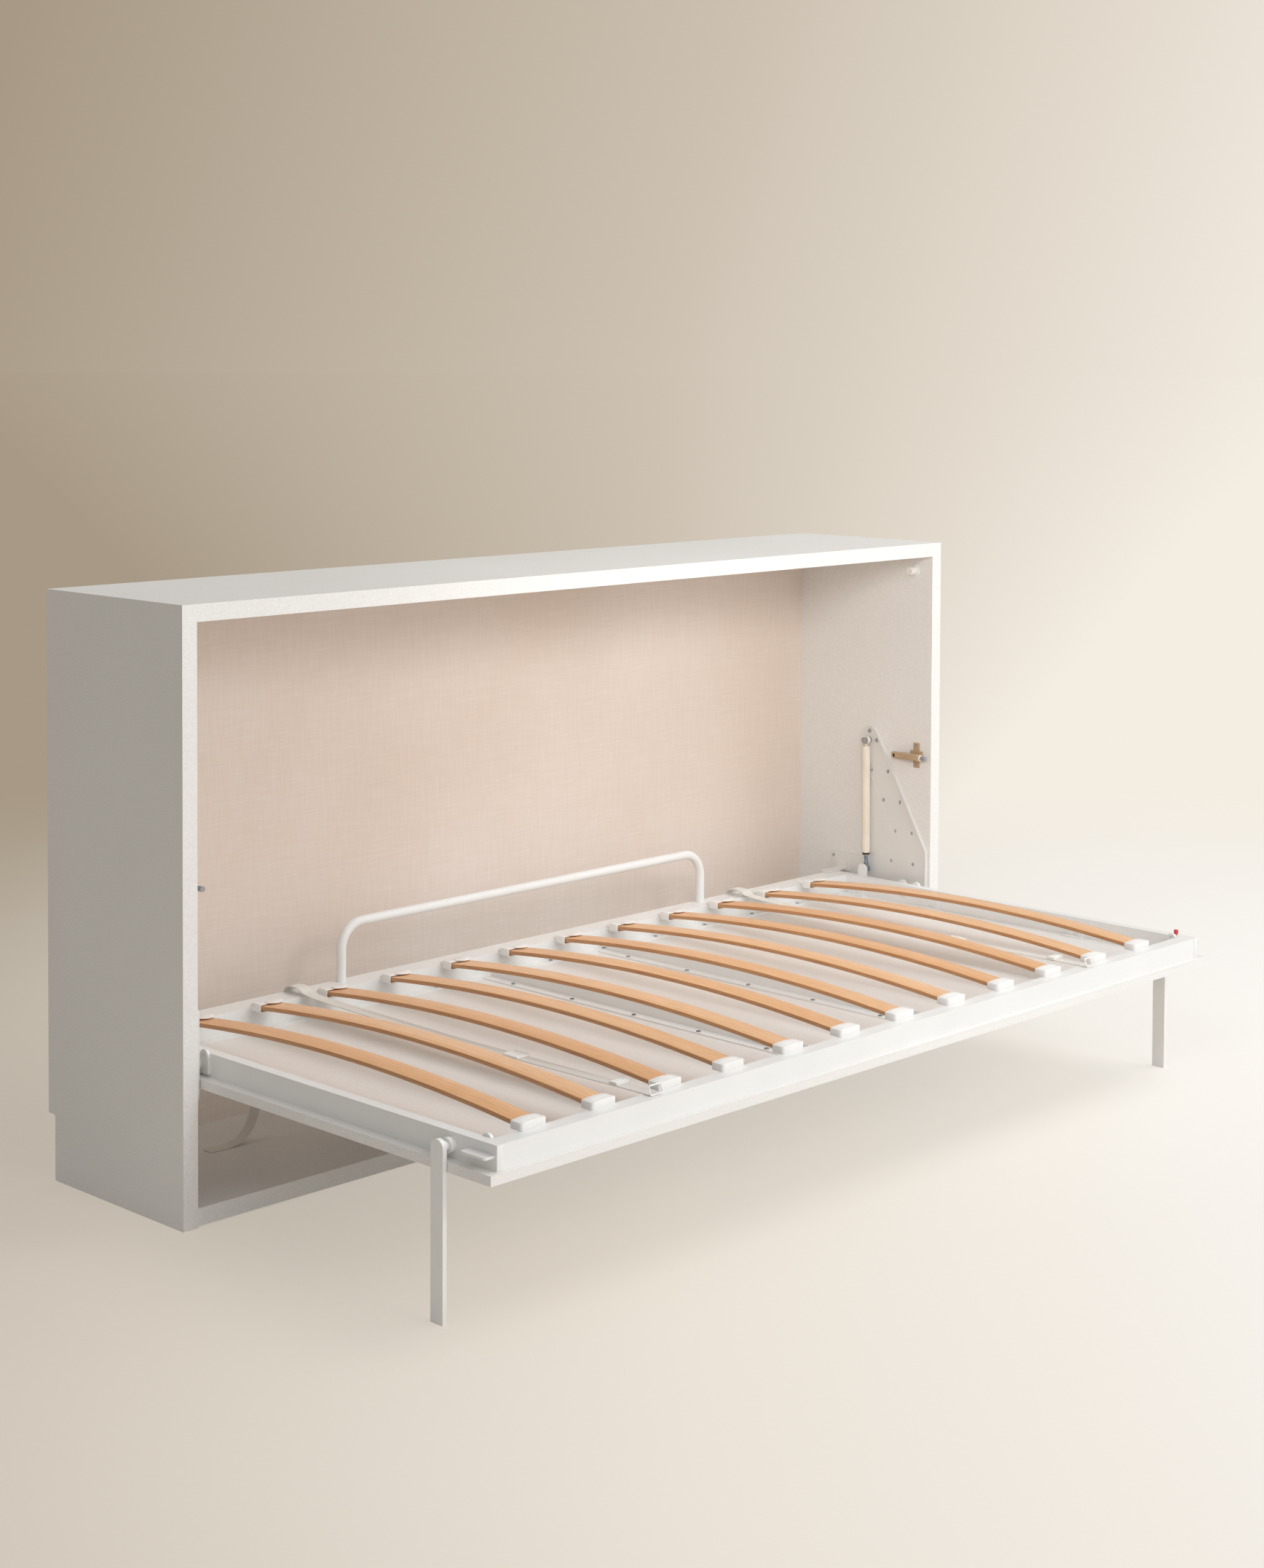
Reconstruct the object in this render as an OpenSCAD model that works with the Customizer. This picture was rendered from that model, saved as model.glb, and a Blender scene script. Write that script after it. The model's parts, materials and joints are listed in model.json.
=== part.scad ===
// Horizontal wall bed, shown folded down on its legs.
// The bed's long side lies along X, the wall is at the rear (+Y) and the floor is Z = 0.
// The modules draw in the wall's frame, where y = 0 is the wall and the front is negative.
// from_wall() then moves the whole bed so that its origin is the middle of its footprint.

/* [Cabinet] */
// Width over the two sides
cab_w = 2050; // [1950:10:2200]
// Depth of the sides
cab_d = 402; // [385:1:430]
// Height to the top face
cab_h = 1050; // [1030:5:1150]
// Thickness of a side
side_t = 30; // [26:1:36]
// Thickness of the top
top_t = 30; // [26:1:36]
// Thickness of the base
base_t = 30; // [24:1:36]
// Gap under the base
base_lift = 2.5; // [1:0.5:6]
// Setback of the base behind the sides' front edges
base_setback = 2; // [0:0.5:6]
// Thickness of the back board
back_t = 3; // [2:0.5:6]
// Distance from the wall to the back board
back_inset = 20.5; // [19:0.5:30]
// Depth of the back board's grooves
groove_depth = 8; // [5:1:12]
// Height of the skirting notch in the sides
skirt_h = 118; // [60:1:150]
// Radius in the notch's corner
skirt_r = 6; // [2:1:10]

/* [Wall fixing] */
// Gap between the wall rail and the wall
wall_rail_gap = 2.5; // [0:0.5:6]
// Height of the wall rail
wall_rail_h = 100; // [70:5:150]
// Radius of a wall screw hole
wall_hole_r = 4; // [3:0.5:6]
// Distance between the two wall screw holes
wall_hole_pitch = 1600; // [800:50:1800]
// Drop of the wall screw holes below the cabinet's top face
wall_hole_drop = 55; // [45:1:90]
// Radius of a joint dowel
dowel_r = 4; // [3:0.5:5]
// Length of a joint dowel
dowel_len = 40; // [30:2:44]

/* [Bed panel and frame] */
// Height of the folding pivot
pivot_h = 269; // [266:1:290]
// Height of the panel's underside when the bed is down
bed_h = 233; // [228:1:236]
// Thickness of the bed panel, the cabinet's front when folded
panel_t = 16; // [14:1:18]
// Gap between the panel and each side
side_gap = 10; // [9.6:0.1:14]
// Gap between the folded panel and the top
top_gap = 3; // [2:0.5:8]
// Gap between the folded panel and the base
base_gap = 12.5; // [8:0.5:20]
// Space between the steel frame and each side
frame_gap = 30; // [29:0.5:34]
// Setback of the frame from the panel's front edge
frame_front = 9; // [4:1:20]
// Setback of the frame from the panel's rear edge
frame_rear = 10; // [6:1:20]
// Height of the frame's tubes
tube_h = 40; // [36:1:44]
// Width of the end rails' tube
end_tube_w = 20; // [18:1:24]
// Depth of the front rail's tube
front_tube_w = 30; // [26:1:36]
// Depth of the rear rail's tube
rear_tube_w = 52; // [48:1:58]
// Wall of the tubes
tube_wall = 2; // [1.5:0.1:3]
// Width of the front rail's fixing flange
front_flange_w = 24; // [18:1:30]
// Width of the rear rail's fixing flange
rear_flange_w = 18; // [14:1:26]
// Thickness of the fixing flanges
flange_t = 3; // [2:0.5:4]

/* [Cross bars] */
// Foot width of a cross bar
bar_foot = 25; // [18:1:35]
// Height of a cross bar
bar_up = 22; // [15:1:26]
// Thickness of a cross bar
bar_t = 2.5; // [2:0.5:4]
// Distance between the cross bars
bar_pitch = 317; // [200:1:500]
// Shift of the pair of cross bars from the middle
bar_shift = -13.5; // [-40:0.5:40]
// Fixing screws in each cross bar
bar_screws = 5; // [3:1:7]

/* [Slats] */
// Number of slats
slat_n = 12; // [8:1:12]
// Width of a slat
slat_w = 44; // [30:1:50]
// Thickness of a slat
slat_t = 8; // [6:0.5:10]
// Rise of a slat's bow
slat_bow = 24; // [10:1:45]
// Distance from the left end rail to the middle of the first slat
slat_first = 79; // [50:1:140]
// Distance from the middle of the last slat to the right end rail
slat_last = 144.5; // [60:0.5:180]
// Width of a front holder
front_holder_w = 53; // [52:1:60]
// Depth of a front holder
front_holder_d = 25; // [20:1:36]
// Height of a front holder
front_holder_h = 14.5; // [14:0.5:20]
// Width of a rear holder
rear_holder_w = 49; // [47:1:56]
// Depth of a rear holder
rear_holder_d = 24; // [18:1:34]
// Height of a rear holder
rear_holder_h = 15; // [14:0.5:20]

/* [Guard rail] */
// Radius of the guard rail's tube
guard_r = 9; // [6:0.5:11]
// Wall of the guard rail's tube
guard_wall = 1.5; // [1:0.1:2.5]
// Distance between its two uprights
guard_w = 990; // [600:10:1100]
// Height of its top line above the rear rail
guard_h = 108; // [80:1:160]
// Radius of its bends
guard_bend = 49; // [30:1:60]

/* [Hinge] */
// Thickness of a hinge plate
plate_t = 3; // [2:0.5:4]
// Radius of the folding pin
pin_r = 6; // [4:0.5:7]
// Outer radius of the folding bush
bush_r = 9; // [8:0.5:10]
// Depth of the lip along a hinge plate's front edge
plate_lip = 3; // [2:0.5:5]
// Setback of a hinge plate from the side's front edge
plate_setback = 7; // [4:1:12]
// Radius of the plate's rounded top
plate_top_r = 31; // [26:1:36]

/* [Gas springs] */
// Height of a gas spring's upper bolt
strut_top_h = 594; // [582:1:620]
// Distance of the upper bolt from the wall
strut_top_y = 230; // [215:1:240]
// Radius of a gas spring's cylinder
cyl_r = 9; // [8:0.5:10]
// Radius of its rod
rod_r = 4; // [3:0.5:5]
// Length between the cylinder's end and the lower bolt when the bed is down
rod_show = 37; // [32:1:60]
// Distance of the lower bolt behind the folding pivot
lug_back = 134; // [125:1:140]
// Height of the lower bolt above the folding pivot
lug_up = 33; // [28:1:38]

/* [Legs] */
// Width of a leg
leg_w = 28; // [22:1:34]
// Thickness of a leg
leg_t = 8; // [6:0.5:8]
// Distance of the legs behind the panel's front edge
leg_back = 111; // [95:1:160]
// Radius of a leg's pin
leg_pin_r = 7.5; // [5:0.5:9]

/* [Closing parts] */
// Radius of a closing stud
stud_r = 9; // [7:0.5:10]
// Length of a closing stud
stud_len = 20; // [14:1:24]
// Width of a latch tongue
tongue_w = 20; // [16:0.5:20]
// Length of a latch tongue
tongue_len = 55; // [40:1:60]
// Thickness of a latch tongue
tongue_t = 4; // [3:0.5:5]
// Height of the soft closing bodies
damper_z = 570; // [565:1:590]
// Travel of the soft closing plungers
plunger_travel = 12; // [8:1:12]
// Radius of a soft closing body
damper_r = 6; // [5:0.5:6]
// Radius of the red release cap
cap_r = 4.5; // [3.5:0.5:6]
// Height of the red release cap
cap_h = 8; // [6:0.5:12]
// Travel of the release button
button_travel = 2; // [1.5:0.5:5]

/* [Straps] */
// Width of a mattress strap
strap_w = 25; // [20:1:32]
// Thickness of a mattress strap
strap_t = 1.6; // [1:0.1:2.4]
// Distance from a strap to the slat on its right
strap_to_slat = 45; // [44:1:90]
// Sag of a strap between its rails
strap_sag = 4; // [0:0.5:8]

/* [Hidden] */
$fn = 64;
arc_fn = 1440;
part_gap = 0.3;
run_fit = 0.05;
press_fit = 0.03;
groove_fit = 0.1;
end_fit = 0.5;
skirt_d = back_inset - groove_fit;
dowel_ys = [-60, -200, -340];
dowel_shift = 2;

in_x = cab_w / 2 - side_t;
base_top = base_lift + base_t;
top_z = cab_h - top_t;
back_rear = -back_inset;
back_front = back_rear - back_t;

panel_x = in_x - side_gap;
panel_top = bed_h + panel_t;
pivot_y = -(cab_d - (pivot_h - bed_h));
panel_front = pivot_y - (top_z - top_gap - pivot_h);
panel_rear = pivot_y + (pivot_h - base_top - base_gap);
overall_d = -panel_front;

frame_x = in_x - frame_gap;
end_in_x = frame_x - end_tube_w;
frame_front_y = panel_front + frame_front;
frame_rear_y = panel_rear - frame_rear;
rail_top = panel_top + tube_h;
front_rail_in = frame_front_y + front_tube_w;
rear_rail_in = frame_rear_y - rear_tube_w;

slat_min = -end_in_x + slat_first;
slat_pitch = (2 * end_in_x - slat_first - slat_last) / (slat_n - 1);
holder_floor = 1.4;
front_holder_setback = 23;
front_slat_in = 4;
rear_holder_back = 10.5;
rear_slat_in = 2.5;
rear_holder_drop = 2.4;
rear_slat_up = 1.6;
front_holder_front = frame_front_y + front_holder_setback;
front_holder_mouth = front_holder_front + front_holder_d;
front_holder_arc = 180;
front_end_y = front_holder_front + front_slat_in;
front_end_z = rail_top + holder_floor;
rear_holder_rear = rear_rail_in - rear_holder_back;
rear_holder_mouth = rear_holder_rear - rear_holder_d;
rear_end_y = rear_holder_rear - rear_slat_in;
rear_holder_z = rail_top - rear_holder_drop;
rear_end_z = rear_holder_z + rear_slat_up;
rear_lip_t = 2.5;
rear_lip_len = 11.5;
rear_lip_x = 15;
rear_lip_root = 6;
rear_foot_w = 24;
rear_foot_down = 8;
rear_foot_up = 5;
rear_foot_on = 9;
slat_chord = norm([rear_end_y - front_end_y, rear_end_z - front_end_z]);
slat_tilt = atan2(rear_end_z - front_end_z, rear_end_y - front_end_y);
slat_arc_r = (slat_chord * slat_chord / 4 + slat_bow * slat_bow) / (2 * slat_bow);

screw_r = 2.2;
screw_head_r = 4.5;
screw_head_t = 1.6;
screw_len = 11;
flange_screw_x = -37;
bar_gap = 1;
bar_front = front_rail_in + front_flange_w + bar_gap;
bar_rear = rear_rail_in - rear_flange_w - bar_gap;
bar_screw_front = 102;
bar_screw_rear = 76;
tab_len = 52;
tab_gap = 4;
tab_ys = [rear_rail_in - tab_len / 2 - tab_gap, -445, -824];
tab_w = 16;
flange_end = tab_w + tab_gap / 2;
tab_t = 2;
ear_r = 7;
ear_h = 9;
ear_t = 3;

strut_top = [-strut_top_y, strut_top_h];
pivot = [pivot_y, pivot_h];
plate_in = in_x - plate_t;
lip_past = 1.5;
plate_drop = 54;
shelf_up = 58;
knee_up = 91;
lip_in = in_x - side_gap + lip_past;
plate_low = pivot_h - plate_drop;
plate_shelf = pivot_h + shelf_up;
plate_front = -cab_d + plate_setback;
plate_rear = -115;
plate_neck = -212;
knee = [plate_front, pivot_h + knee_up];
tuck = 0.4;
top_reach = strut_top - knee;
top_turn = 90 + atan2(top_reach[1], top_reach[0]) + asin(plate_top_r / norm(top_reach));
slope_top = strut_top + (plate_top_r - tuck) * [cos(top_turn), sin(top_turn)];
emboss = [strut_top + [-8, -82], strut_top + [-70, -205], pivot + [72, 75], pivot + [145, 66]];
emboss_t = 1;
screw_row = [-33.5, -66];
screw_cols = [-8, -54];
screw_low = [[70, 58], [8, 58]];
screw_corner = [-13, -10];
hinge_screws = concat([strut_top + [0, 20], strut_top + [-21.5, 1]],
    [for (k = [0:2], dy = screw_cols) strut_top + [dy + screw_row[0] * k, screw_row[1] * (k + 1)]],
    [for (at = screw_low) pivot + at], [[plate_rear, plate_shelf] + screw_corner]);

bracket_t = 5;
bracket_w = 60;
bracket_r = 19;
lobe_x = 19;
lobe_r = 11;
socket_r = 3;
bush_flange_t = 4;
bush_flange_r = bush_r + 3;
bush_in = 2;
collar_r = 11;
pin_in = 8;
pivot_cap_r = 8;
pivot_cap_t = 1.5;

strut_side = 15;
strut_x = in_x - strut_side;
lug = pivot + [lug_back, lug_up];
lug_r = 12;
strut_len = norm(lug - strut_top);
strut_lean = atan2(lug[0] - strut_top[0], strut_top[1] - lug[1]);
cyl_len = strut_len - rod_show;
cyl_wall = 1.5;
neck_r = 3;
eye_r = 9;
eye_w = 8;
seal_len = 6;
seal_r = cyl_r - 2;
gland = 10;
cyl_top = 13;
piston_top = 30;
piston_t = 14;
block_w = 12;
block_r = 7;
block_len = 14;
open_gap = 0.4;
bolt_boss_r = 7;
bolt_head_r = 7.5;
bolt_head_t = 5;
pin_head_t = 2;
pin_head_r = 5.5;

leg_y = panel_front + leg_back;
leg_side = 1;
leg_out = in_x - leg_side;
leg_in = leg_out - leg_t;
leg_boss_t = 5;
leg_boss_r = leg_pin_r + leg_boss_t;
leg_boss_w = 10;
leg_pin_in = 7;

stud_clear = 0.3;
stud_base_r = stud_r + 3;
stud_base_t = 3;
stud_hole_r = 2.5;
stud_hole = 5;
stud_from_tip = 17;
tongue_back = 5;
tongue_front = frame_front_y + tongue_back;
tongue_r = 5;
stud_z = pivot_h + pivot_y - (tongue_front + stud_from_tip);
stud_y = pivot_y + tongue_t + stud_clear + stud_r;
clamp_t = 6;
clamp_r = 11;
clamp_back = 14;
clamp_y = front_rail_in + clamp_back;
clamp_up = 6;

folded_top = pivot_y - (pivot_h - panel_top);
damper_side = 14;
damper_x = in_x - damper_side;
damper_len = 77;
damper_front = folded_top + 3;
damper_end = 9;
plunger_r = damper_r - 1.2;
plunger_tip = folded_top + end_fit - plunger_travel;
plunger_rear = damper_front + damper_len - damper_end - plunger_travel - 2;
cross_t = 2;
cross_back = 20.5;
cross_y = damper_front + cross_back;
cross_z = damper_z + 3;
cross_w = 35;
cross_h = 56;
cross_arm = 17;
cross_bar_h = 20;
saddle_w = 18;
saddle_h = 10;
cross_hole_r = 1.6;
cross_hole_z = 22;

stop_gap = 0.5;
stop_t = 3;
stop_front = 13;
stop_y = frame_rear_y - stop_front;
stop_arm_w = 25;
stop_reach = 20;
stop_plate_h = 23;
stop_tip = 10;
stop_hole_r = 3;

button_x = frame_x - end_tube_w / 2;
button_back = 43;
button_y = frame_front_y + button_back;
button_rest = rail_top + button_travel + end_fit;
stem_r = 2.5;
stem_in = 8;

guard_in = 15;
guard_y = frame_rear_y - guard_in;

ring_back = 22;
ring_y = frame_front_y + ring_back;
ring_wire = 3;
ring_side = 3;
ring_d = 19;
buckle_back = 95;
buckle_y = frame_front_y + buckle_back;
buckle_d = 18;
buckle_t = 6;
clip_back = 243;
clip_y = buckle_y + clip_back;
clip_d = 37;
clip_t = 4;
strap_low = rail_top + part_gap;
strap_front = ring_y + ring_wire + part_gap;
strap_rise = 8;
strap_mid = (front_rail_in + rear_rail_in) / 2;
strap_half = (rear_rail_in - front_rail_in) / 2 - strap_rise;
tail_front = 33;
tail_y = panel_rear - tail_front;
tail_side = 370;
tail_x = tail_side - in_x;
tail_top = bed_h - 2;
tail_fall = [[-55, 117.5], [-71, 47.5], [-87, 17.5]];
tail_flat = 27;
tail_bend = [-43, -16];
tail_lie = [-110, -175];
tail_route = concat([[tail_x, tail_top], [tail_x - tail_flat, tail_top], [tail_x, tail_top] + tail_bend],
    [for (at = tail_fall) [tail_x, base_top] + at],
    [for (dx = tail_lie) [tail_x + dx, base_top + part_gap]]);
tail_t = 1.2;

function slat_name(i) = str("slat_", i < 9 ? "0" : "", i + 1);
function slat_x(i) = slat_min + slat_pitch * i;
function strap_x(side) = slat_x(side < 0 ? 2 : slat_n - 2) - strap_to_slat;
// Underside of a strap at y, which sags evenly towards the middle of the frame.
function strap_z(y) = strap_low - strap_sag * max(0, 1 - abs(y - strap_mid) / strap_half);

// Helpers

module from_wall() {
    translate([0, overall_d / 2, 0]) children();
}

module block(x0, x1, y0, y1, z0, z1) {
    translate([x0, y0, z0]) cube([x1 - x0, y1 - y0, z1 - z0]);
}

module left_of() {
    mirror([1, 0, 0]) children();
}

module both() {
    children();
    left_of() children();
}

// Extrudes an outline drawn in Y and Z towards +X.
module yz_plate(x0, x1) {
    translate([x0, 0, 0]) rotate([90, 0, 90]) linear_extrude(x1 - x0) children();
}

module x_rod(x0, x1, y, z, r) {
    translate([x0, y, z]) rotate([0, 90, 0]) cylinder(h = x1 - x0, r = r);
}

module y_rod(x, y0, y1, z, r) {
    translate([x, y1, z]) rotate([90, 0, 0]) cylinder(h = y1 - y0, r = r);
}

module z_rod(x, y, z0, z1, r) {
    translate([x, y, z0]) cylinder(h = z1 - z0, r = r);
}

// Cabinet

module top_dowels(grow, fit) {
    middle = top_z - dowel_shift;
    for (y = dowel_ys)
        z_rod(cab_w / 2 - side_t / 2, y, middle - dowel_len / 2 - grow, middle + dowel_len / 2 + grow,
            dowel_r + fit);
}

module base_dowels(grow, fit) {
    for (y = dowel_ys)
        x_rod(in_x - dowel_len / 2 - grow, in_x + dowel_len / 2 + grow, y, base_lift + base_t / 2,
            dowel_r + fit);
}

module back_board(fit) {
    half = in_x + groove_depth + (fit > 0 ? 0 : -end_fit);
    block(-half, half, back_front - fit, back_rear + fit, base_lift, top_z + half - in_x);
}

module top_panel() {
    color("gainsboro") from_wall() difference() {
        block(-cab_w / 2, cab_w / 2, -cab_d, 0, top_z, cab_h);
        back_board(groove_fit);
        both() top_dowels(end_fit, run_fit);
    }
}

// The side's rear edge steps in over the skirting, with a rounded inner corner.
module side_outline() {
    difference() {
        translate([-cab_d, 0]) square([cab_d, top_z]);
        translate([-skirt_d, -skirt_r]) square([2 * skirt_d, skirt_h]);
        translate([skirt_r - skirt_d, -skirt_r]) square([2 * skirt_d, skirt_h + skirt_r]);
        translate([skirt_r - skirt_d, skirt_h - skirt_r]) circle(skirt_r);
    }
}

module side_panel() {
    difference() {
        yz_plate(in_x, cab_w / 2) side_outline();
        back_board(groove_fit);
        top_dowels(end_fit, run_fit);
        base_dowels(end_fit, run_fit);
        hinge_screw_holes();
    }
}

module left_side_panel() {
    color("gainsboro") from_wall() left_of() side_panel();
}

module right_side_panel() {
    color("gainsboro") from_wall() side_panel();
}

module wall_holes() {
    for (s = [-1, 1])
        y_rod(s * wall_hole_pitch / 2, back_front - 1, 1, cab_h - wall_hole_drop, wall_hole_r);
}

module back_panel() {
    color("linen") from_wall() difference() {
        back_board(0);
        wall_holes();
    }
}

module base_panel() {
    color("gainsboro") from_wall() difference() {
        block(-in_x, in_x, -cab_d + base_setback, back_front, base_lift, base_top);
        both() base_dowels(end_fit, run_fit);
    }
}

module wall_rail() {
    color("wheat") from_wall() difference() {
        block(-in_x, in_x, back_rear, -wall_rail_gap, top_z - wall_rail_h, top_z);
        wall_holes();
    }
}

module cabinet_dowels() {
    color("tan") from_wall() both() {
        top_dowels(0, 0);
        base_dowels(0, 0);
    }
}

// Hinge plates and what is on them

module hinge_outline() {
    translate(strut_top) circle(plate_top_r);
    polygon([[plate_rear, plate_low], [plate_rear, plate_shelf], [plate_neck, plate_shelf],
        strut_top + [plate_top_r - tuck, 0], strut_top, slope_top, knee, [plate_front, plate_low]]);
}

// The lip is what the outline leaves in front of a copy moved back and a little down.
module lip_outline() {
    intersection() {
        difference() {
            hinge_outline();
            translate([plate_lip, -plate_lip / 3]) hinge_outline();
        }
        translate([plate_front - 1, plate_low]) square([strut_top[0] - plate_front, strut_top_h]);
    }
}

module hinge_screw_holes() {
    for (p = hinge_screws) x_rod(lip_in, in_x + screw_len + end_fit, p[0], p[1], screw_r + run_fit);
}

module hinge_plate() {
    difference() {
        union() {
            yz_plate(plate_in, in_x) hinge_outline();
            yz_plate(lip_in, plate_in) lip_outline();
            yz_plate(plate_in - emboss_t, plate_in) polygon(emboss);
        }
        hinge_screw_holes();
    }
}

module left_hinge_plate() {
    color("whitesmoke") from_wall() left_of() hinge_plate();
}

module right_hinge_plate() {
    color("whitesmoke") from_wall() hinge_plate();
}

module hinge_plate_screws() {
    color("silver") from_wall() both() for (p = hinge_screws) {
        x_rod(plate_in - screw_head_t, plate_in, p[0], p[1], screw_head_r);
        x_rod(plate_in, in_x + screw_len, p[0], p[1], screw_r);
    }
}

module pivot_bolts() {
    color("silver") from_wall() both() {
        x_rod(frame_x + bracket_t + bush_flange_t + part_gap, plate_in, pivot_y, pivot_h, collar_r);
        x_rod(frame_x - pin_in, plate_in, pivot_y, pivot_h, pin_r);
    }
}

module strut_top_bolts() {
    y = strut_top[0];
    z = strut_top[1];
    clear = eye_w / 2 + part_gap;
    color("silver") from_wall() both() {
        x_rod(strut_x + clear, plate_in, y, z, bolt_boss_r);
        x_rod(strut_x - clear, plate_in, y, z, rod_r);
        x_rod(strut_x - clear - bolt_head_t, strut_x - clear, y, z, bolt_head_r);
    }
}

module damper_body() {
    difference() {
        union() {
            y_rod(damper_x, damper_front, damper_front + damper_len, damper_z, damper_r);
            block(damper_x, in_x - cross_t, cross_y - saddle_w / 2, cross_y + saddle_w / 2,
                damper_z - saddle_h / 2, damper_z + saddle_h / 2);
            block(in_x - cross_t, in_x, cross_y - cross_w / 2, cross_y + cross_w / 2,
                cross_z - cross_bar_h / 2, cross_z + cross_bar_h / 2);
            block(in_x - cross_t, in_x, cross_y - cross_arm / 2, cross_y + cross_arm / 2,
                cross_z - cross_h / 2, cross_z + cross_h / 2);
        }
        y_rod(damper_x, damper_front - 1, damper_front + damper_len - damper_end, damper_z,
            plunger_r + run_fit);
        for (s = [-1, 1])
            x_rod(in_x - 2 * cross_t, in_x + 1, cross_y, cross_z + s * cross_hole_z, cross_hole_r);
    }
}

module left_damper_body() {
    color("tan") from_wall() left_of() damper_body();
}

module right_damper_body() {
    color("tan") from_wall() damper_body();
}

module plunger() {
    y_rod(damper_x, plunger_tip, plunger_rear, damper_z, plunger_r);
}

module left_plunger() {
    color("gray") from_wall() left_of() plunger();
}

module right_plunger() {
    color("gray") from_wall() plunger();
}

module bumper_studs() {
    color("white") from_wall() both() difference() {
        union() {
            x_rod(in_x - stud_len, in_x, stud_y, stud_z, stud_r);
            x_rod(in_x - stud_base_t, in_x, stud_y, stud_z, stud_base_r);
        }
        x_rod(in_x - stud_len - 1, in_x - stud_len + stud_hole, stud_y, stud_z, stud_hole_r);
    }
}

// An angle on each hinge plate reaches over the rear rail and stops the open bed.
module down_stop_brackets() {
    low = rail_top + stop_gap;
    reach = end_in_x - stop_reach;
    color("whitesmoke") from_wall() both() difference() {
        union() {
            block(plate_in - stop_t, plate_in, stop_y - stop_t - stop_reach / 2, stop_y + stop_arm_w + 1,
                low - stop_t - stop_gap, low + stop_plate_h - stop_t);
            block(reach, plate_in, stop_y, stop_y + stop_arm_w, low, low + stop_t);
            block(reach, reach + stop_t, stop_y + stop_arm_w - stop_tip, stop_y + stop_arm_w,
                low - stop_tip, low + stop_t);
        }
        x_rod(plate_in - 2 * stop_t, plate_in - stop_t / 3, stop_y - stop_t, low + stop_plate_h / 2,
            stop_hole_r);
    }
}

// Bed panel and steel frame

module flange_screw_spots() {
    for (i = [0:slat_n - 1], y = [front_rail_in + front_flange_w / 2, rear_rail_in - rear_flange_w / 2])
        translate([slat_x(i) + flange_screw_x, y, panel_top]) children();
}

module bar_screw_spots() {
    step = (bar_rear - bar_front - bar_screw_front - bar_screw_rear) / (bar_screws - 1);
    for (s = [-0.5, 0.5], k = [0:bar_screws - 1])
        translate([bar_shift + s * bar_pitch - bar_foot / 5, bar_rear - bar_screw_rear - k * step,
            panel_top]) children();
}

module screw_holes(above) {
    z_rod(0, 0, -screw_len - end_fit, above + 1, screw_r + run_fit);
}

module screw(seat) {
    z_rod(0, 0, -screw_len, seat, screw_r);
    z_rod(0, 0, seat, seat + screw_head_t, screw_head_r);
}

module frame_screws() {
    color("silver") from_wall() {
        flange_screw_spots() screw(flange_t);
        bar_screw_spots() screw(bar_t);
    }
}

module front_panel() {
    color("white") from_wall() difference() {
        block(-panel_x, panel_x, panel_front, panel_rear, bed_h, panel_top);
        flange_screw_spots() screw_holes(0);
        bar_screw_spots() screw_holes(0);
    }
}

// A tube from y0 to y1 with a fixing flange beside it, from y2 to y3.
module long_tube(y0, y1, y2, y3) {
    flange_x = end_in_x - flange_end;
    difference() {
        union() {
            block(-end_in_x, end_in_x, y0, y1, panel_top, rail_top);
            block(-flange_x, flange_x, y2, y3, panel_top, panel_top + flange_t);
        }
        block(-end_in_x - 1, end_in_x + 1, y0 + tube_wall, y1 - tube_wall,
            panel_top + tube_wall, rail_top - tube_wall);
        flange_screw_spots() screw_holes(flange_t);
    }
}

module front_rail() {
    color("whitesmoke") from_wall()
        long_tube(frame_front_y, front_rail_in, front_rail_in, front_rail_in + front_flange_w);
}

module rear_rail() {
    color("whitesmoke") from_wall() difference() {
        long_tube(rear_rail_in, frame_rear_y, rear_rail_in - rear_flange_w, rear_rail_in);
        for (s = [-1, 1]) z_rod(s * guard_w / 2, guard_y, rail_top - tube_wall - 1, rail_top + 1,
            guard_r + run_fit);
    }
}

module end_rail() {
    difference() {
        block(end_in_x, frame_x, frame_front_y, frame_rear_y, panel_top, rail_top);
        block(end_in_x + tube_wall, frame_x - tube_wall, frame_front_y + tube_wall, frame_rear_y + 1,
            panel_top + tube_wall, rail_top - tube_wall);
        x_rod(frame_x - tube_wall - 1, frame_x + 1, pivot_y, pivot_h, bush_r + press_fit);
        x_rod(frame_x - tube_wall - 1, frame_x + 1, leg_y, pivot_h, leg_pin_r + run_fit);
    }
}

module left_end_rail() {
    color("whitesmoke") from_wall() left_of() end_rail();
}

module right_end_rail() {
    color("whitesmoke") from_wall() difference() {
        end_rail();
        z_rod(button_x, button_y, rail_top - tube_wall - 1, rail_top + 1, stem_r + run_fit);
    }
}

module cross_bar(x) {
    edge = x + bar_foot / 2;
    difference() {
        union() {
            block(edge - bar_foot, edge, bar_front, bar_rear, panel_top, panel_top + bar_t);
            block(edge - bar_t, edge, bar_front, bar_rear, panel_top, panel_top + bar_up);
        }
        bar_screw_spots() screw_holes(bar_t);
    }
}

module left_cross_bar() {
    color("whitesmoke") from_wall() cross_bar(bar_shift - bar_pitch / 2);
}

module right_cross_bar() {
    color("whitesmoke") from_wall() cross_bar(bar_shift + bar_pitch / 2);
}

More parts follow.
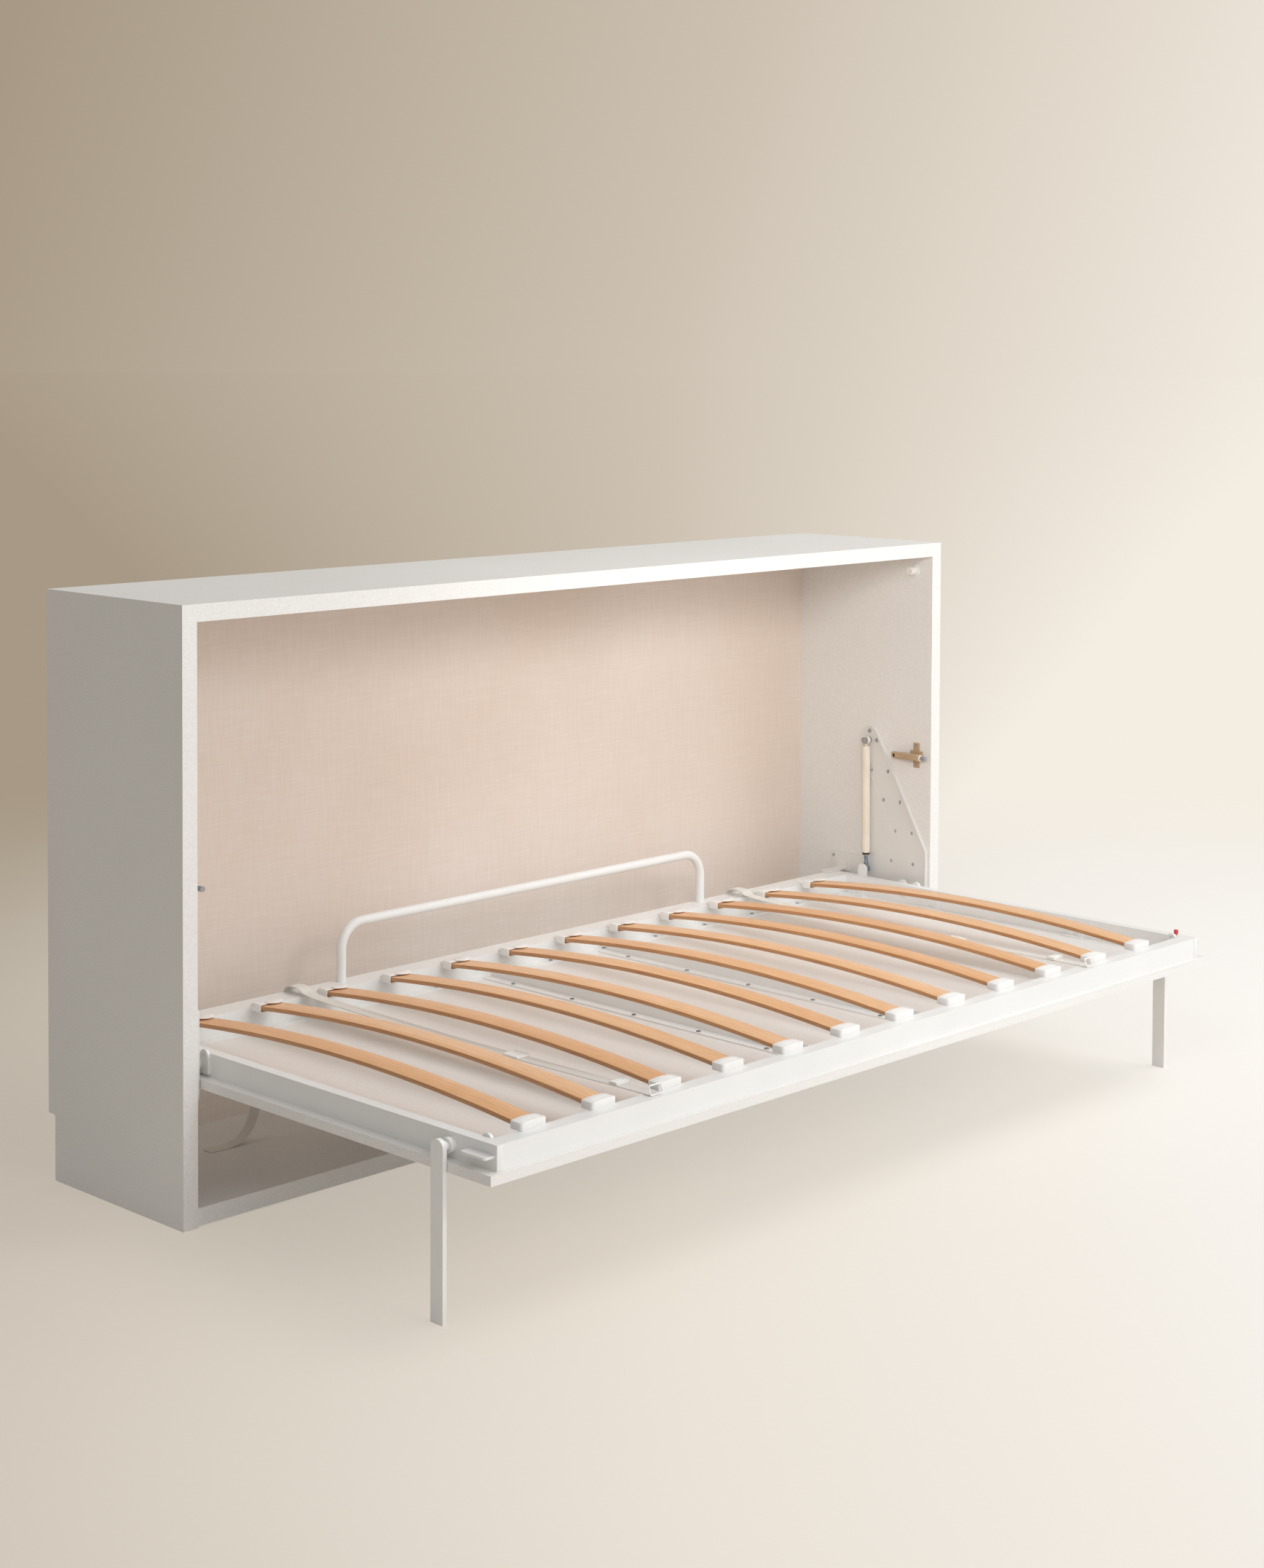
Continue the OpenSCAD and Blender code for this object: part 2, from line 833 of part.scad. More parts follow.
// A foot on the panel with two upright ears against the end rail.
module rail_tab(y) {
    block(end_in_x - tab_w, end_in_x, y - tab_len / 2, y + tab_len / 2, panel_top, panel_top + tab_t);
    for (dy = [-tab_len / 4, tab_len / 4]) difference() {
        yz_plate(end_in_x - ear_t, end_in_x) translate([y + dy, panel_top + tab_t]) {
            translate([-ear_r, 0]) square([2 * ear_r, ear_h]);
            translate([0, ear_h]) circle(ear_r);
        }
        x_rod(end_in_x - 2 * ear_t, end_in_x - ear_t / 2, y + dy, panel_top + tab_t + ear_h, ear_r / 3);
    }
}

module rail_tabs() {
    color("whitesmoke") from_wall() both() for (y = tab_ys) rail_tab(y);
}

// Slats and their holders

module slat_bent(x, grow) {
    half = slat_chord / 2 + grow;
    translate([x, (front_end_y + rear_end_y) / 2, (front_end_z + rear_end_z) / 2])
        rotate([slat_tilt, 0, 0]) yz_plate(-slat_w / 2 - grow, slat_w / 2 + grow) intersection() {
            translate([0, slat_bow - slat_arc_r]) difference() {
                circle(slat_arc_r + slat_t + grow, $fn = arc_fn);
                circle(slat_arc_r - grow, $fn = arc_fn);
            }
            translate([-half, -slat_bow]) square([2 * half, 3 * slat_bow]);
        }
}

module slat(i) {
    color("burlywood") from_wall() slat_bent(slat_x(i), 0);
}

// The holder's top is slightly arched across its width.
module front_holder(x) {
    difference() {
        translate([x, front_holder_mouth, rail_top]) rotate([90, 0, 0])
            linear_extrude(front_holder_d) intersection() {
                translate([-front_holder_w / 2, 0]) square([front_holder_w, front_holder_h]);
                translate([0, front_holder_h - front_holder_arc])
                    circle(front_holder_arc, $fn = arc_fn / 4);
            }
        slat_bent(x, part_gap);
    }
}

module front_slat_holders() {
    color("white") from_wall() for (i = [0:slat_n - 1]) front_holder(slat_x(i));
}

// A sleeve in front of the rear rail, on a foot over the rail's corner, with a lip on the slat.
module rear_holder(x) {
    top = rear_holder_z + rear_holder_h;
    foot = rear_foot_w / 2;
    left = x - rear_holder_w / 2;
    right = x + rear_holder_w / 2;
    difference() {
        union() {
            block(left, right, rear_holder_mouth, rear_holder_rear, rear_holder_z, top);
            block(left + rear_lip_x, right, rear_holder_mouth - rear_lip_len,
                rear_holder_mouth + rear_lip_root, top - rear_lip_t / 5, top + rear_lip_t);
            block(x - foot, x + foot, rear_holder_rear - 1, rear_rail_in, rail_top - rear_foot_down,
                rail_top + rear_foot_up);
            block(x - foot, x + foot, rear_rail_in - 1, rear_rail_in + rear_foot_on, rail_top,
                rail_top + rear_foot_up);
        }
        slat_bent(x, part_gap);
    }
}

module rear_slat_holders() {
    color("whitesmoke") from_wall() for (i = [0:slat_n - 1]) rear_holder(slat_x(i));
}

// Guard rail

module guard_path(r) {
    x = guard_w / 2;
    z = rail_top + guard_h;
    for (s = [-1, 1]) {
        z_rod(s * x, 0, panel_top + tube_wall, z - guard_bend, r);
        translate([s * (x - guard_bend), 0, z - guard_bend]) rotate([90, s > 0 ? 0 : -90, 0])
            rotate_extrude(angle = 90) translate([guard_bend, 0]) circle(r);
    }
    x_rod(-x + guard_bend, x - guard_bend, 0, z, r);
}

module guard_rail() {
    color("white") from_wall() translate([0, guard_y, 0]) difference() {
        guard_path(guard_r);
        guard_path(guard_r - guard_wall);
    }
}

// Fittings on the end rails

module strut_lugs() {
    color("whitesmoke") from_wall() both() yz_plate(frame_x, frame_x + bracket_t) {
        translate(lug) circle(lug_r);
        translate([lug[0] - lug_r, panel_top + bracket_t])
            square([2 * lug_r, lug[1] - panel_top - bracket_t]);
    }
}

module pivot_brackets() {
    outer = frame_x + bracket_t;
    color("whitesmoke") from_wall() both() difference() {
        yz_plate(frame_x, outer) translate(pivot) {
            circle(bracket_r);
            translate([-bracket_w / 2, -bracket_w / 4]) square([bracket_w, 2 * bush_flange_r]);
            for (dy = [-lobe_x, lobe_x]) translate([dy, bracket_w / 4]) circle(lobe_r);
        }
        x_rod(frame_x - 1, outer + 1, pivot_y, pivot_h, bush_r + press_fit);
        for (dy = [-lobe_x, lobe_x])
            x_rod(frame_x + bracket_t / 2, outer + 1, pivot_y + dy, pivot_h + bracket_w / 4 + 1, socket_r);
    }
}

module pivot_bushes() {
    outer = frame_x + bracket_t;
    color("dimgray") from_wall() both() {
        difference() {
            union() {
                x_rod(frame_x - tube_wall - bush_in, outer, pivot_y, pivot_h, bush_r);
                x_rod(outer, outer + bush_flange_t, pivot_y, pivot_h, bush_flange_r);
            }
            x_rod(frame_x - pin_in, plate_in, pivot_y, pivot_h, pin_r + run_fit);
        }
        x_rod(end_in_x - pivot_cap_t, end_in_x, pivot_y, pivot_h, pivot_cap_r);
    }
}

module latch_tongues() {
    color("whitesmoke") from_wall() both() {
        translate([frame_x, tongue_front, pivot_h]) linear_extrude(tongue_t) {
            square([tongue_w - tongue_r, tongue_len]);
            translate([0, tongue_r]) square([tongue_w, tongue_len - 2 * tongue_r]);
            for (y = [tongue_r, tongue_len - tongue_r])
                translate([tongue_w - tongue_r, y]) circle(tongue_r);
        }
        difference() {
            yz_plate(end_in_x - clamp_t, end_in_x) {
                translate([clamp_y, rail_top - clamp_up]) circle(clamp_r);
                translate([clamp_y - clamp_r, panel_top + flange_t + part_gap])
                    square([2 * clamp_r, tube_h - flange_t - part_gap - clamp_up]);
            }
            x_rod(end_in_x - clamp_t - 1, end_in_x - clamp_t / 2, clamp_y, rail_top - clamp_up / 2,
                socket_r);
        }
    }
}

module leg_collars() {
    outer = frame_x + leg_boss_w;
    color("white") from_wall() both() difference() {
        x_rod(frame_x, outer, leg_y, pivot_h, leg_boss_r);
        x_rod(frame_x - 1, outer + 1, leg_y, pivot_h, leg_pin_r + run_fit);
    }
}

// Legs

module leg() {
    yz_plate(leg_in, leg_out) {
        translate([leg_y, pivot_h]) circle(leg_w / 2);
        translate([leg_y - leg_w / 2, 0]) square([leg_w, pivot_h]);
    }
}

module leg_pin() {
    x_rod(frame_x - leg_pin_in, leg_in, leg_y, pivot_h, leg_pin_r);
}

module left_leg() {
    color("lightgray") from_wall() left_of() leg();
}

module left_leg_pin() {
    color("whitesmoke") from_wall() left_of() leg_pin();
}

module right_leg() {
    color("lightgray") from_wall() leg();
}

module right_leg_pin() {
    color("whitesmoke") from_wall() leg_pin();
}

// Gas springs, drawn hanging from the upper bolt and turned to their lean

module at_strut_top() {
    translate([strut_x, strut_top[0], strut_top[1]]) rotate([strut_lean, 0, 0]) children();
}

module cylinder_body() {
    end = -cyl_len;
    at_strut_top() difference() {
        union() {
            x_rod(-eye_w / 2, eye_w / 2, 0, 0, eye_r);
            z_rod(0, 0, -cyl_top, -eye_r / 2, neck_r);
            z_rod(0, 0, end, -cyl_top, cyl_r);
            z_rod(0, 0, end - seal_len, end, seal_r);
        }
        x_rod(-eye_w, eye_w, 0, 0, rod_r + run_fit);
        z_rod(0, 0, end + gland, -cyl_top - 2 * neck_r, cyl_r - cyl_wall);
        z_rod(0, 0, end - seal_len - 1, end + gland + 1, rod_r + run_fit);
    }
}

// The rod's lower pin stops just short of the lug, so that the linkage is open there.
module rod_body() {
    at_strut_top() {
        z_rod(0, 0, block_len - strut_len, -piston_top, rod_r);
        z_rod(0, 0, -piston_top - piston_t, -piston_top, cyl_r - cyl_wall - run_fit);
        translate([0, 0, -strut_len]) {
            x_rod(-block_w / 2, block_w / 2, 0, 0, block_r);
            z_rod(0, 0, 0, block_len, block_w / 2 - end_fit);
            x_rod(frame_x + bracket_t + open_gap - strut_x, -block_w / 2, 0, 0, rod_r);
            x_rod(block_w / 2, block_w / 2 + pin_head_t, 0, 0, pin_head_r);
        }
    }
}

module left_cylinder() {
    color("antiquewhite") from_wall() left_of() cylinder_body();
}

module right_cylinder() {
    color("antiquewhite") from_wall() cylinder_body();
}

module left_rod() {
    color("slategray") from_wall() left_of() rod_body();
}

module right_rod() {
    color("slategray") from_wall() rod_body();
}

// Release button

module release_button() {
    color("crimson") from_wall() {
        z_rod(button_x, button_y, button_rest, button_rest + cap_h, cap_r);
        z_rod(button_x, button_y, rail_top - tube_wall - stem_in, button_rest, stem_r);
    }
}

// Straps

module strap(x) {
    back = frame_rear_y + part_gap;
    front_top = front_rail_in + strap_rise;
    rear_top = rear_rail_in - strap_rise;
    low = strap_low;
    dip = strap_low - strap_sag;
    yz_plate(x - strap_w / 2, x + strap_w / 2) polygon([
        [strap_front, low], [front_top, low], [strap_mid, dip], [rear_top, low], [back, low],
        [back, panel_top + part_gap], [back + strap_t, panel_top + part_gap],
        [back + strap_t, low + strap_t],
        [rear_top, low + strap_t], [strap_mid, dip + strap_t], [front_top, low + strap_t],
        [strap_front, low + strap_t]]);
}

module left_strap() {
    color("white") from_wall() strap(strap_x(-1));
}

module right_strap() {
    color("white") from_wall() strap(strap_x(1));
}

module ring(x) {
    half = strap_w / 2 + ring_side;
    back = ring_y + ring_wire;
    difference() {
        block(x - half, x + half, back - ring_d, back, strap_low, strap_low + ring_wire);
        block(x - half + ring_wire, x + half - ring_wire, back - ring_d + ring_wire, back - ring_wire,
            rail_top, strap_low + 2 * ring_wire);
    }
}

// A flat block on a strap, such as its buckle or its clip.
module on_strap(x, y, d, t) {
    half = strap_w / 2 + ring_side;
    low = strap_z(y) + strap_t + part_gap;
    block(x - half, x + half, y - d / 2, y + d / 2, low, low + t);
}

module strap_hardware() {
    color("white") from_wall() for (s = [-1, 1]) {
        ring(strap_x(s));
        on_strap(strap_x(s), buckle_y, buckle_d, buckle_t);
        on_strap(strap_x(s), clip_y, clip_d, clip_t);
    }
}

// The loose end hangs from under the panel, curves down and lies on the base.
module strap_tail() {
    last = len(tail_route) - 1;
    color("white") from_wall() translate([0, tail_y + strap_w, 0]) rotate([90, 0, 0])
        linear_extrude(strap_w)
            polygon(concat(tail_route, [for (i = [0:last]) tail_route[last - i] + tail_t * [-1, 1]]));
}

top_panel();
left_side_panel();
right_side_panel();
back_panel();
base_panel();
wall_rail();
cabinet_dowels();
left_hinge_plate();
right_hinge_plate();
hinge_plate_screws();
pivot_bolts();
strut_top_bolts();
left_damper_body();
right_damper_body();
bumper_studs();
down_stop_brackets();
front_panel();
front_rail();
rear_rail();
left_end_rail();
right_end_rail();
left_cross_bar();
right_cross_bar();
frame_screws();
rail_tabs();
front_slat_holders();
rear_slat_holders();
guard_rail();
strut_lugs();
pivot_brackets();
pivot_bushes();
latch_tongues();
leg_collars();
left_strap();
right_strap();
strap_hardware();
strap_tail();
left_leg();
left_leg_pin();
right_leg();
right_leg_pin();
left_cylinder();
left_rod();
right_cylinder();
right_rod();
left_plunger();
right_plunger();
release_button();
for (i = [0:slat_n - 1]) slat(i);
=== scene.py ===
import bpy
import bmesh
import json
import math
from mathutils import Matrix, Vector


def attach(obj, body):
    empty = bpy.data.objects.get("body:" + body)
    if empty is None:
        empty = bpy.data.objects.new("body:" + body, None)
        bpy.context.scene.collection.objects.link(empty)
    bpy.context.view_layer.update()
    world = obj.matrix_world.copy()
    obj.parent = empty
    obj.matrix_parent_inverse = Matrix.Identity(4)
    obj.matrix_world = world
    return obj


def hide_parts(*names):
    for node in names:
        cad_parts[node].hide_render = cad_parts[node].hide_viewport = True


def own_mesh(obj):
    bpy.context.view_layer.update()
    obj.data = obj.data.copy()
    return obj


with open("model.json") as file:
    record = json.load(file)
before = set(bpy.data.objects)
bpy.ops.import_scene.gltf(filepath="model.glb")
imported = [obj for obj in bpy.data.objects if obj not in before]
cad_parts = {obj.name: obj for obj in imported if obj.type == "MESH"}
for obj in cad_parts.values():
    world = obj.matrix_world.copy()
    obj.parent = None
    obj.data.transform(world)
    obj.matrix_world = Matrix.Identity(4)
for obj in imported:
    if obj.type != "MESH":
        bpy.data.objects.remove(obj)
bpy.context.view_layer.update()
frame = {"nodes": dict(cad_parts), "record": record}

# Wall bed: a low white cabinet with a steel frame of twelve bowed slats, folded down on its legs.
# The dictionaries give millimetres from the wall, the floor and the cabinet's middle.
# atWall turns them into the frame's metres.

wallToOrigin = 557  # mm from the wall to the frame's origin
print("frame loaded:", len(frame["nodes"]), "nodes")


def atWall(x, y, z):
    return Vector((x, y + wallToOrigin, z)) / 1000


# Camera, at the photograph's angle

cameraPlan = {
    "place": (-3541.2, -3891.0, 1475.5),
    "yaw": 45.74,  # degrees to the right of straight at the wall
    "pitch": 2.11,  # degrees down
    "roll": 0.24,
    "focal": 3530.55,  # pixels of the 1736 by 2154 image
    "rows": 2154,
    "axisRow": 610.5,  # the image row that the lens points at
    "sensor": 36,
    "farClip": 200,  # m
}


def makeCamera(plan):
    yaw, pitch, roll = (math.radians(plan[k]) for k in ("yaw", "pitch", "roll"))
    aim = Vector((math.sin(yaw) * math.cos(pitch), math.cos(yaw) * math.cos(pitch), -math.sin(pitch)))
    level = Vector((math.cos(yaw), -math.sin(yaw), 0))
    upright = level.cross(aim)
    side = math.cos(roll) * level + math.sin(roll) * upright
    top = math.cos(roll) * upright - math.sin(roll) * level
    bpy.ops.object.camera_add()
    camera = bpy.context.object
    camera.name = "photoCamera"
    turned = Matrix((side, top, -aim)).transposed().to_4x4()
    camera.matrix_world = Matrix.Translation(atWall(*plan["place"])) @ turned
    camera.data.sensor_width = plan["sensor"]
    camera.data.lens = plan["focal"] * plan["sensor"] / plan["rows"]
    camera.data.shift_y = (plan["axisRow"] - plan["rows"] / 2) / plan["rows"]
    camera.data.clip_end = plan["farClip"]
    bpy.context.scene.camera = camera


makeCamera(cameraPlan)
print("camera set")


# Node helpers

def colour(code):  # sRGB hex to linear
    parts = [int(code[i:i + 2], 16) / 255 for i in (1, 3, 5)]
    return tuple(p / 12.92 if p <= 0.04045 else ((p + 0.055) / 1.055) ** 2.4 for p in parts) + (1,)


def addNode(tree, kind, values=None, links=None, out=0, **settings):  # returns one of its outputs
    node = tree.nodes.new("ShaderNode" + kind)
    for name, value in settings.items():
        setattr(node, name, value)
    for name, value in (values or {}).items():
        node.inputs[name].default_value = value
    for name, source in (links or {}).items():
        tree.links.new(source, node.inputs[name])
    return node.outputs[out] if node.outputs else node


def ramp(tree, factor, stops):  # each stop is a place from 0 to 1 and its colour
    tone = addNode(tree, "ValToRGB", links={"Fac": factor})
    bands = tone.node.color_ramp.elements
    for i, (place, code) in enumerate(stops):
        band = bands[i] if i < len(bands) else bands.new(place)
        band.position, band.color = place, colour(code)
    return tone


def startMaterial(name, finish):
    material = bpy.data.materials.new(name)
    material.use_nodes = True
    tree = material.node_tree
    shader = tree.nodes["Principled BSDF"]
    for socket, value in finish.items():
        shader.inputs[socket].default_value = value
    return material, tree, shader


def stretched(tree, size):  # object coordinates counted in features of that size in mm
    where = addNode(tree, "TexCoord", out="Object")
    return addNode(tree, "Mapping", {"Scale": [1000 / s for s in size]}, {"Vector": where})


def speckle(tree, size, detail=2.0, roughness=0.5):
    return addNode(tree, "TexNoise", {"Scale": 1.0, "Detail": detail, "Roughness": roughness},
                   {"Vector": stretched(tree, size)}, out="Fac")


# Wires the shader: its colour, its relief (depth in mm) and, with gloss, its roughness from low to high
def wireSurface(tree, shader, face, relief, depth, strength, gloss=None, sheen=None):
    tree.links.new(face, shader.inputs["Base Color"])
    if gloss:
        low, high = gloss
        dull = addNode(tree, "MapRange", {"To Min": low, "To Max": high}, {"Value": sheen or relief})
        tree.links.new(dull, shader.inputs["Roughness"])
    bump = addNode(tree, "Bump", {"Strength": strength, "Distance": depth / 1000}, {"Height": relief})
    tree.links.new(bump, shader.inputs["Normal"])


# Materials

multiplied = {"out": 2, "data_type": "RGBA", "blend_type": "MULTIPLY"}  # two colours multiplied


# Melamine foil on chipboard, pressed with a fine pearl: a dull, even white with a soft sheen.
def makeMelamine(name, pale, deep):
    material, tree, shader = startMaterial(name, {"Roughness": 0.46, "IOR": 1.5})
    cloud = speckle(tree, (420, 420, 420), 3)
    pearl = speckle(tree, (2.4, 2.4, 2.4), 2)  # really 0.8 mm, drawn coarser to show
    body = ramp(tree, cloud, [(0.3, deep), (0.7, pale)])
    dotted = ramp(tree, pearl, [(0.35, "#F4F4F4"), (0.65, "#FFFFFF")])
    face = addNode(tree, "Mix", {0: 1.0}, {6: body, 7: dotted}, **multiplied)
    wireSurface(tree, shader, face, pearl, 0.12, 0.35, (0.4, 0.52))
    return material


# Linen foil on hardboard: crossed threads with slubs, printed in two warm tones and pressed in.
def makeLinenBoard():
    material, tree, shader = startMaterial("linenFoilBoard", {"Roughness": 0.62, "IOR": 1.48})
    upright = speckle(tree, (2.4, 40, 55), 2)  # threads really 1 mm apart, drawn at 2.4 mm
    across = speckle(tree, (55, 40, 2.4), 2)
    weave = addNode(tree, "Math", links={0: upright, 1: across}, operation="ADD")
    half = addNode(tree, "Math", {1: 0.5}, {0: weave}, operation="MULTIPLY")
    cloud = speckle(tree, (600, 600, 600), 2)
    threads = ramp(tree, half, [(0.36, "#E6D9CE"), (0.5, "#E9DCD2"), (0.64, "#ECE1D8")])
    tone = ramp(tree, cloud, [(0.3, "#F6F1EC"), (0.7, "#FFFFFF")])
    face = addNode(tree, "Mix", {0: 1.0}, {6: threads, 7: tone}, **multiplied)
    wireSurface(tree, shader, face, half, 0.3, 0.25, (0.7, 0.55))
    return material


# Plain chipboard: pressed wood chips in several browns, open and dull.
def makeChipboard():
    material, tree, shader = startMaterial("plainChipboard", {"Roughness": 0.85, "IOR": 1.45})
    where = stretched(tree, (7, 3, 3))
    chips = addNode(tree, "TexVoronoi", {"Scale": 1.0, "Randomness": 1.0}, {"Vector": where}, out="Distance")
    dust = speckle(tree, (1.5, 1.5, 1.5), 3)
    tone = ramp(tree, chips, [(0.1, "#D2B48A"), (0.5, "#C29F72"), (0.9, "#9B7A52")])
    wireSurface(tree, shader, tone, dust, 0.4, 0.6)
    return material


# Turned beech dowel: straight fluted grain, unfinished.
def makeDowelBeech():
    material, tree, shader = startMaterial("turnedBeech", {"Roughness": 0.7, "IOR": 1.5})
    grain = speckle(tree, (0.8, 20, 0.8), 3, 0.6)
    tone = ramp(tree, grain, [(0.3, "#C99A68"), (0.7, "#E2BC8E")])
    wireSurface(tree, shader, tone, grain, 0.2, 0.5)
    return material


# Polyester powder coat on steel: a thick white film with a faint orange peel and low gloss.
def makePowderCoat(name, pale, deep, gloss):
    material, tree, shader = startMaterial(name, {"Roughness": gloss, "IOR": 1.52,
                                                  "Coat Weight": 0.12, "Coat Roughness": 0.25})
    cloud = speckle(tree, (160, 160, 160), 2)
    peel = speckle(tree, (2.6, 2.6, 2.6), 1)  # really about 1.5 mm
    grit = speckle(tree, (0.9, 0.9, 0.9), 2)
    body = ramp(tree, cloud, [(0.3, deep), (0.7, pale)])
    dust = ramp(tree, grit, [(0.3, "#F7F7F7"), (0.6, "#FFFFFF")])
    face = addNode(tree, "Mix", {0: 1.0}, {6: body, 7: dust}, **multiplied)
    wireSurface(tree, shader, face, peel, 0.16, 0.3, (gloss - 0.05, gloss + 0.07))
    return material


# Zinc plated steel: a bluish metal with a cloudy passivated film.
def makeZinc(name, pale, deep, low, high):
    material, tree, shader = startMaterial(name, {"Metallic": 1.0, "Roughness": low})
    cloud = speckle(tree, (9, 9, 9), 4, 0.6)
    fine = speckle(tree, (0.5, 0.5, 3), 2)
    tone = ramp(tree, cloud, [(0.3, deep), (0.7, pale)])
    wireSurface(tree, shader, tone, fine, 0.03, 0.5, (low, high), cloud)
    return material


# Injection moulded plastic: an eroded mould skin, slightly waxy, with faint flow clouds.
def makeMoulded(name, pale, deep, gloss, glow=0.0):
    material, tree, shader = startMaterial(name, {"Roughness": gloss, "IOR": 1.49,
                                                  "Subsurface Weight": glow, "Subsurface Scale": 0.002})
    flow = speckle(tree, (26, 26, 26), 3)
    skin = speckle(tree, (1.2, 1.2, 1.2), 1)
    tone = ramp(tree, flow, [(0.3, deep), (0.7, pale)])
    wireSurface(tree, shader, tone, skin, 0.05, 0.5, (gloss - 0.05, gloss + 0.08))
    return material


# Laminated beech with a clear lacquer: pale orange-brown, long straight grain with short dark rays,
# darker glue lines between the veneers on the long edges. The veneers follow the slats' bow.

slatPlan = {"first": -866, "pitch": 151.5, "count": 12, "width": 44, "thickness": 8, "rise": 24,
            "frontEnd": (-1078, 290.4), "rearEnd": (-217, 288.2), "rounding": 1.8, "steps": 30,
            "veneers": 6}


def slatEnds(plan):
    return [Vector((0, y, z)) for y, z in (plan["frontEnd"], plan["rearEnd"])]


def slatBow(plan):  # the middle and radius of the arc through both ends
    front, rear = slatEnds(plan)
    chord = rear - front
    radius = (chord.length ** 2 / 4 + plan["rise"] ** 2) / (2 * plan["rise"])
    upward = Vector((0, -chord.z, chord.y)).normalized()
    return (front + rear) / 2 + upward * (plan["rise"] - radius), radius


def makeVeneers(tree, plan):  # bands with dark glue lines, by the distance from the bow's middle
    middle, radius = slatBow(plan)
    flat = addNode(tree, "Mapping", {"Location": (0, -(middle.y + wallToOrigin) / 1000, -middle.z / 1000),
                                     "Scale": (0, 1, 1)}, {"Vector": addNode(tree, "TexCoord", out="Object")})
    reach = addNode(tree, "VectorMath", links={0: flat}, out="Value", operation="LENGTH")
    outer = radius + plan["thickness"]
    depth = addNode(tree, "MapRange", {"From Min": radius / 1000, "From Max": outer / 1000, "To Min": 0.0,
                                       "To Max": plan["veneers"]}, {"Value": reach})
    part = addNode(tree, "Math", links={0: depth}, operation="FRACT")
    half = addNode(tree, "Math", {1: 0.5}, {0: depth}, operation="MULTIPLY")
    turn = addNode(tree, "Math", links={0: half}, operation="FRACT")
    veneer = ramp(tree, turn, [(0.0, "#C08C5C"), (0.5, "#D3A273")])
    glue = ramp(tree, part, [(0.0, "#8A5E38"), (0.14, "#FFFFFF")])
    for tone in (veneer, glue):
        tone.node.color_ramp.interpolation = "CONSTANT"
    return addNode(tree, "Mix", {0: 0.7}, {6: veneer, 7: glue}, **multiplied)


def makeBeech(plan):
    material, tree, shader = startMaterial("lacqueredBeech", {"Roughness": 0.38, "IOR": 1.5,
                                                              "Coat Weight": 0.25, "Coat Roughness": 0.2})
    board = speckle(tree, (70, 2600, 900), 2)  # each slat's own tone
    rings = addNode(tree, "TexWave", {"Scale": 0.5, "Distortion": 7.0, "Detail": 3.0, "Detail Scale": 0.6},
                    {"Vector": stretched(tree, (16, 420, 60))}, out="Fac", bands_direction="X")
    grain = speckle(tree, (1.6, 90, 3), 4, 0.65)
    rays = speckle(tree, (1.1, 7, 2.5), 2)  # really 2 mm long, drawn at 7 mm
    face = ramp(tree, board, [(0.35, "#ECBC8B"), (0.5, "#F2C799"), (0.65, "#F6D0A8")])
    ringTone = ramp(tree, rings, [(0.0, "#F1E2D2"), (0.5, "#FFFFFF"), (1.0, "#F8EEE4")])
    grainTone = ramp(tree, grain, [(0.35, "#EBD9C8"), (0.6, "#FFFFFF")])
    rayTone = ramp(tree, rays, [(0.28, "#C79B72"), (0.36, "#FFFFFF")])
    for share, tone in ((1.0, ringTone), (0.8, grainTone), (0.45, rayTone)):
        face = addNode(tree, "Mix", {0: share}, {6: face, 7: tone}, **multiplied)
    edge = addNode(tree, "Mix", {0: 0.8}, {6: makeVeneers(tree, plan), 7: grainTone}, **multiplied)
    facing = addNode(tree, "SeparateXYZ", links={0: addNode(tree, "TexCoord", out="Normal")}, out="X")
    aside = addNode(tree, "Math", links={0: facing}, operation="ABSOLUTE")
    side = addNode(tree, "Math", {1: 0.75}, {0: aside}, operation="GREATER_THAN")
    body = addNode(tree, "Mix", links={0: side, 6: face, 7: edge}, out=2, data_type="RGBA")
    wireSurface(tree, shader, body, grain, 0.12, 0.4, (0.46, 0.34))
    return material


# Woven polyester webbing: ribs across, herringbone edges, read from each strap's own map in mm.
def makeWebbing():
    material, tree, shader = startMaterial("wovenWebbing", {"Roughness": 0.8, "IOR": 1.45,
                                                            "Sheen Weight": 0.3, "Sheen Roughness": 0.5})
    where = addNode(tree, "TexCoord", out="UV")
    ribs = addNode(tree, "TexWave", {"Scale": 0.16, "Distortion": 0.6, "Detail": 1.0}, {"Vector": where},
                   out="Fac", bands_direction="Y")
    ends = addNode(tree, "TexWave", {"Scale": 0.2, "Distortion": 0.4, "Detail": 1.0}, {"Vector": where},
                   out="Fac", bands_direction="X")
    fuzz = addNode(tree, "TexNoise", {"Scale": 1.2, "Detail": 3.0}, {"Vector": where}, out="Fac")
    weave = addNode(tree, "Math", links={0: ribs, 1: ends}, operation="MULTIPLY")
    body = ramp(tree, weave, [(0.0, "#E2DED7"), (0.6, "#F7F5F0")])
    soft = ramp(tree, fuzz, [(0.3, "#F0EDE8"), (0.7, "#FFFFFF")])
    face = addNode(tree, "Mix", {0: 1.0}, {6: body, 7: soft}, **multiplied)
    wireSurface(tree, shader, face, weave, 0.4, 0.7)
    return material


# Enamel on a gas spring's tube: a glossy cream, sprayed and baked.
def makeEnamel():
    material, tree, shader = startMaterial("creamEnamel", {"Roughness": 0.22, "IOR": 1.52,
                                                           "Coat Weight": 0.5, "Coat Roughness": 0.08})
    cloud = speckle(tree, (40, 40, 40), 2)
    peel = speckle(tree, (2, 2, 2), 1)
    tone = ramp(tree, cloud, [(0.3, "#EFE6D3"), (0.7, "#F6EEDF")])
    wireSurface(tree, shader, tone, peel, 0.05, 0.3, (0.18, 0.28))
    return material


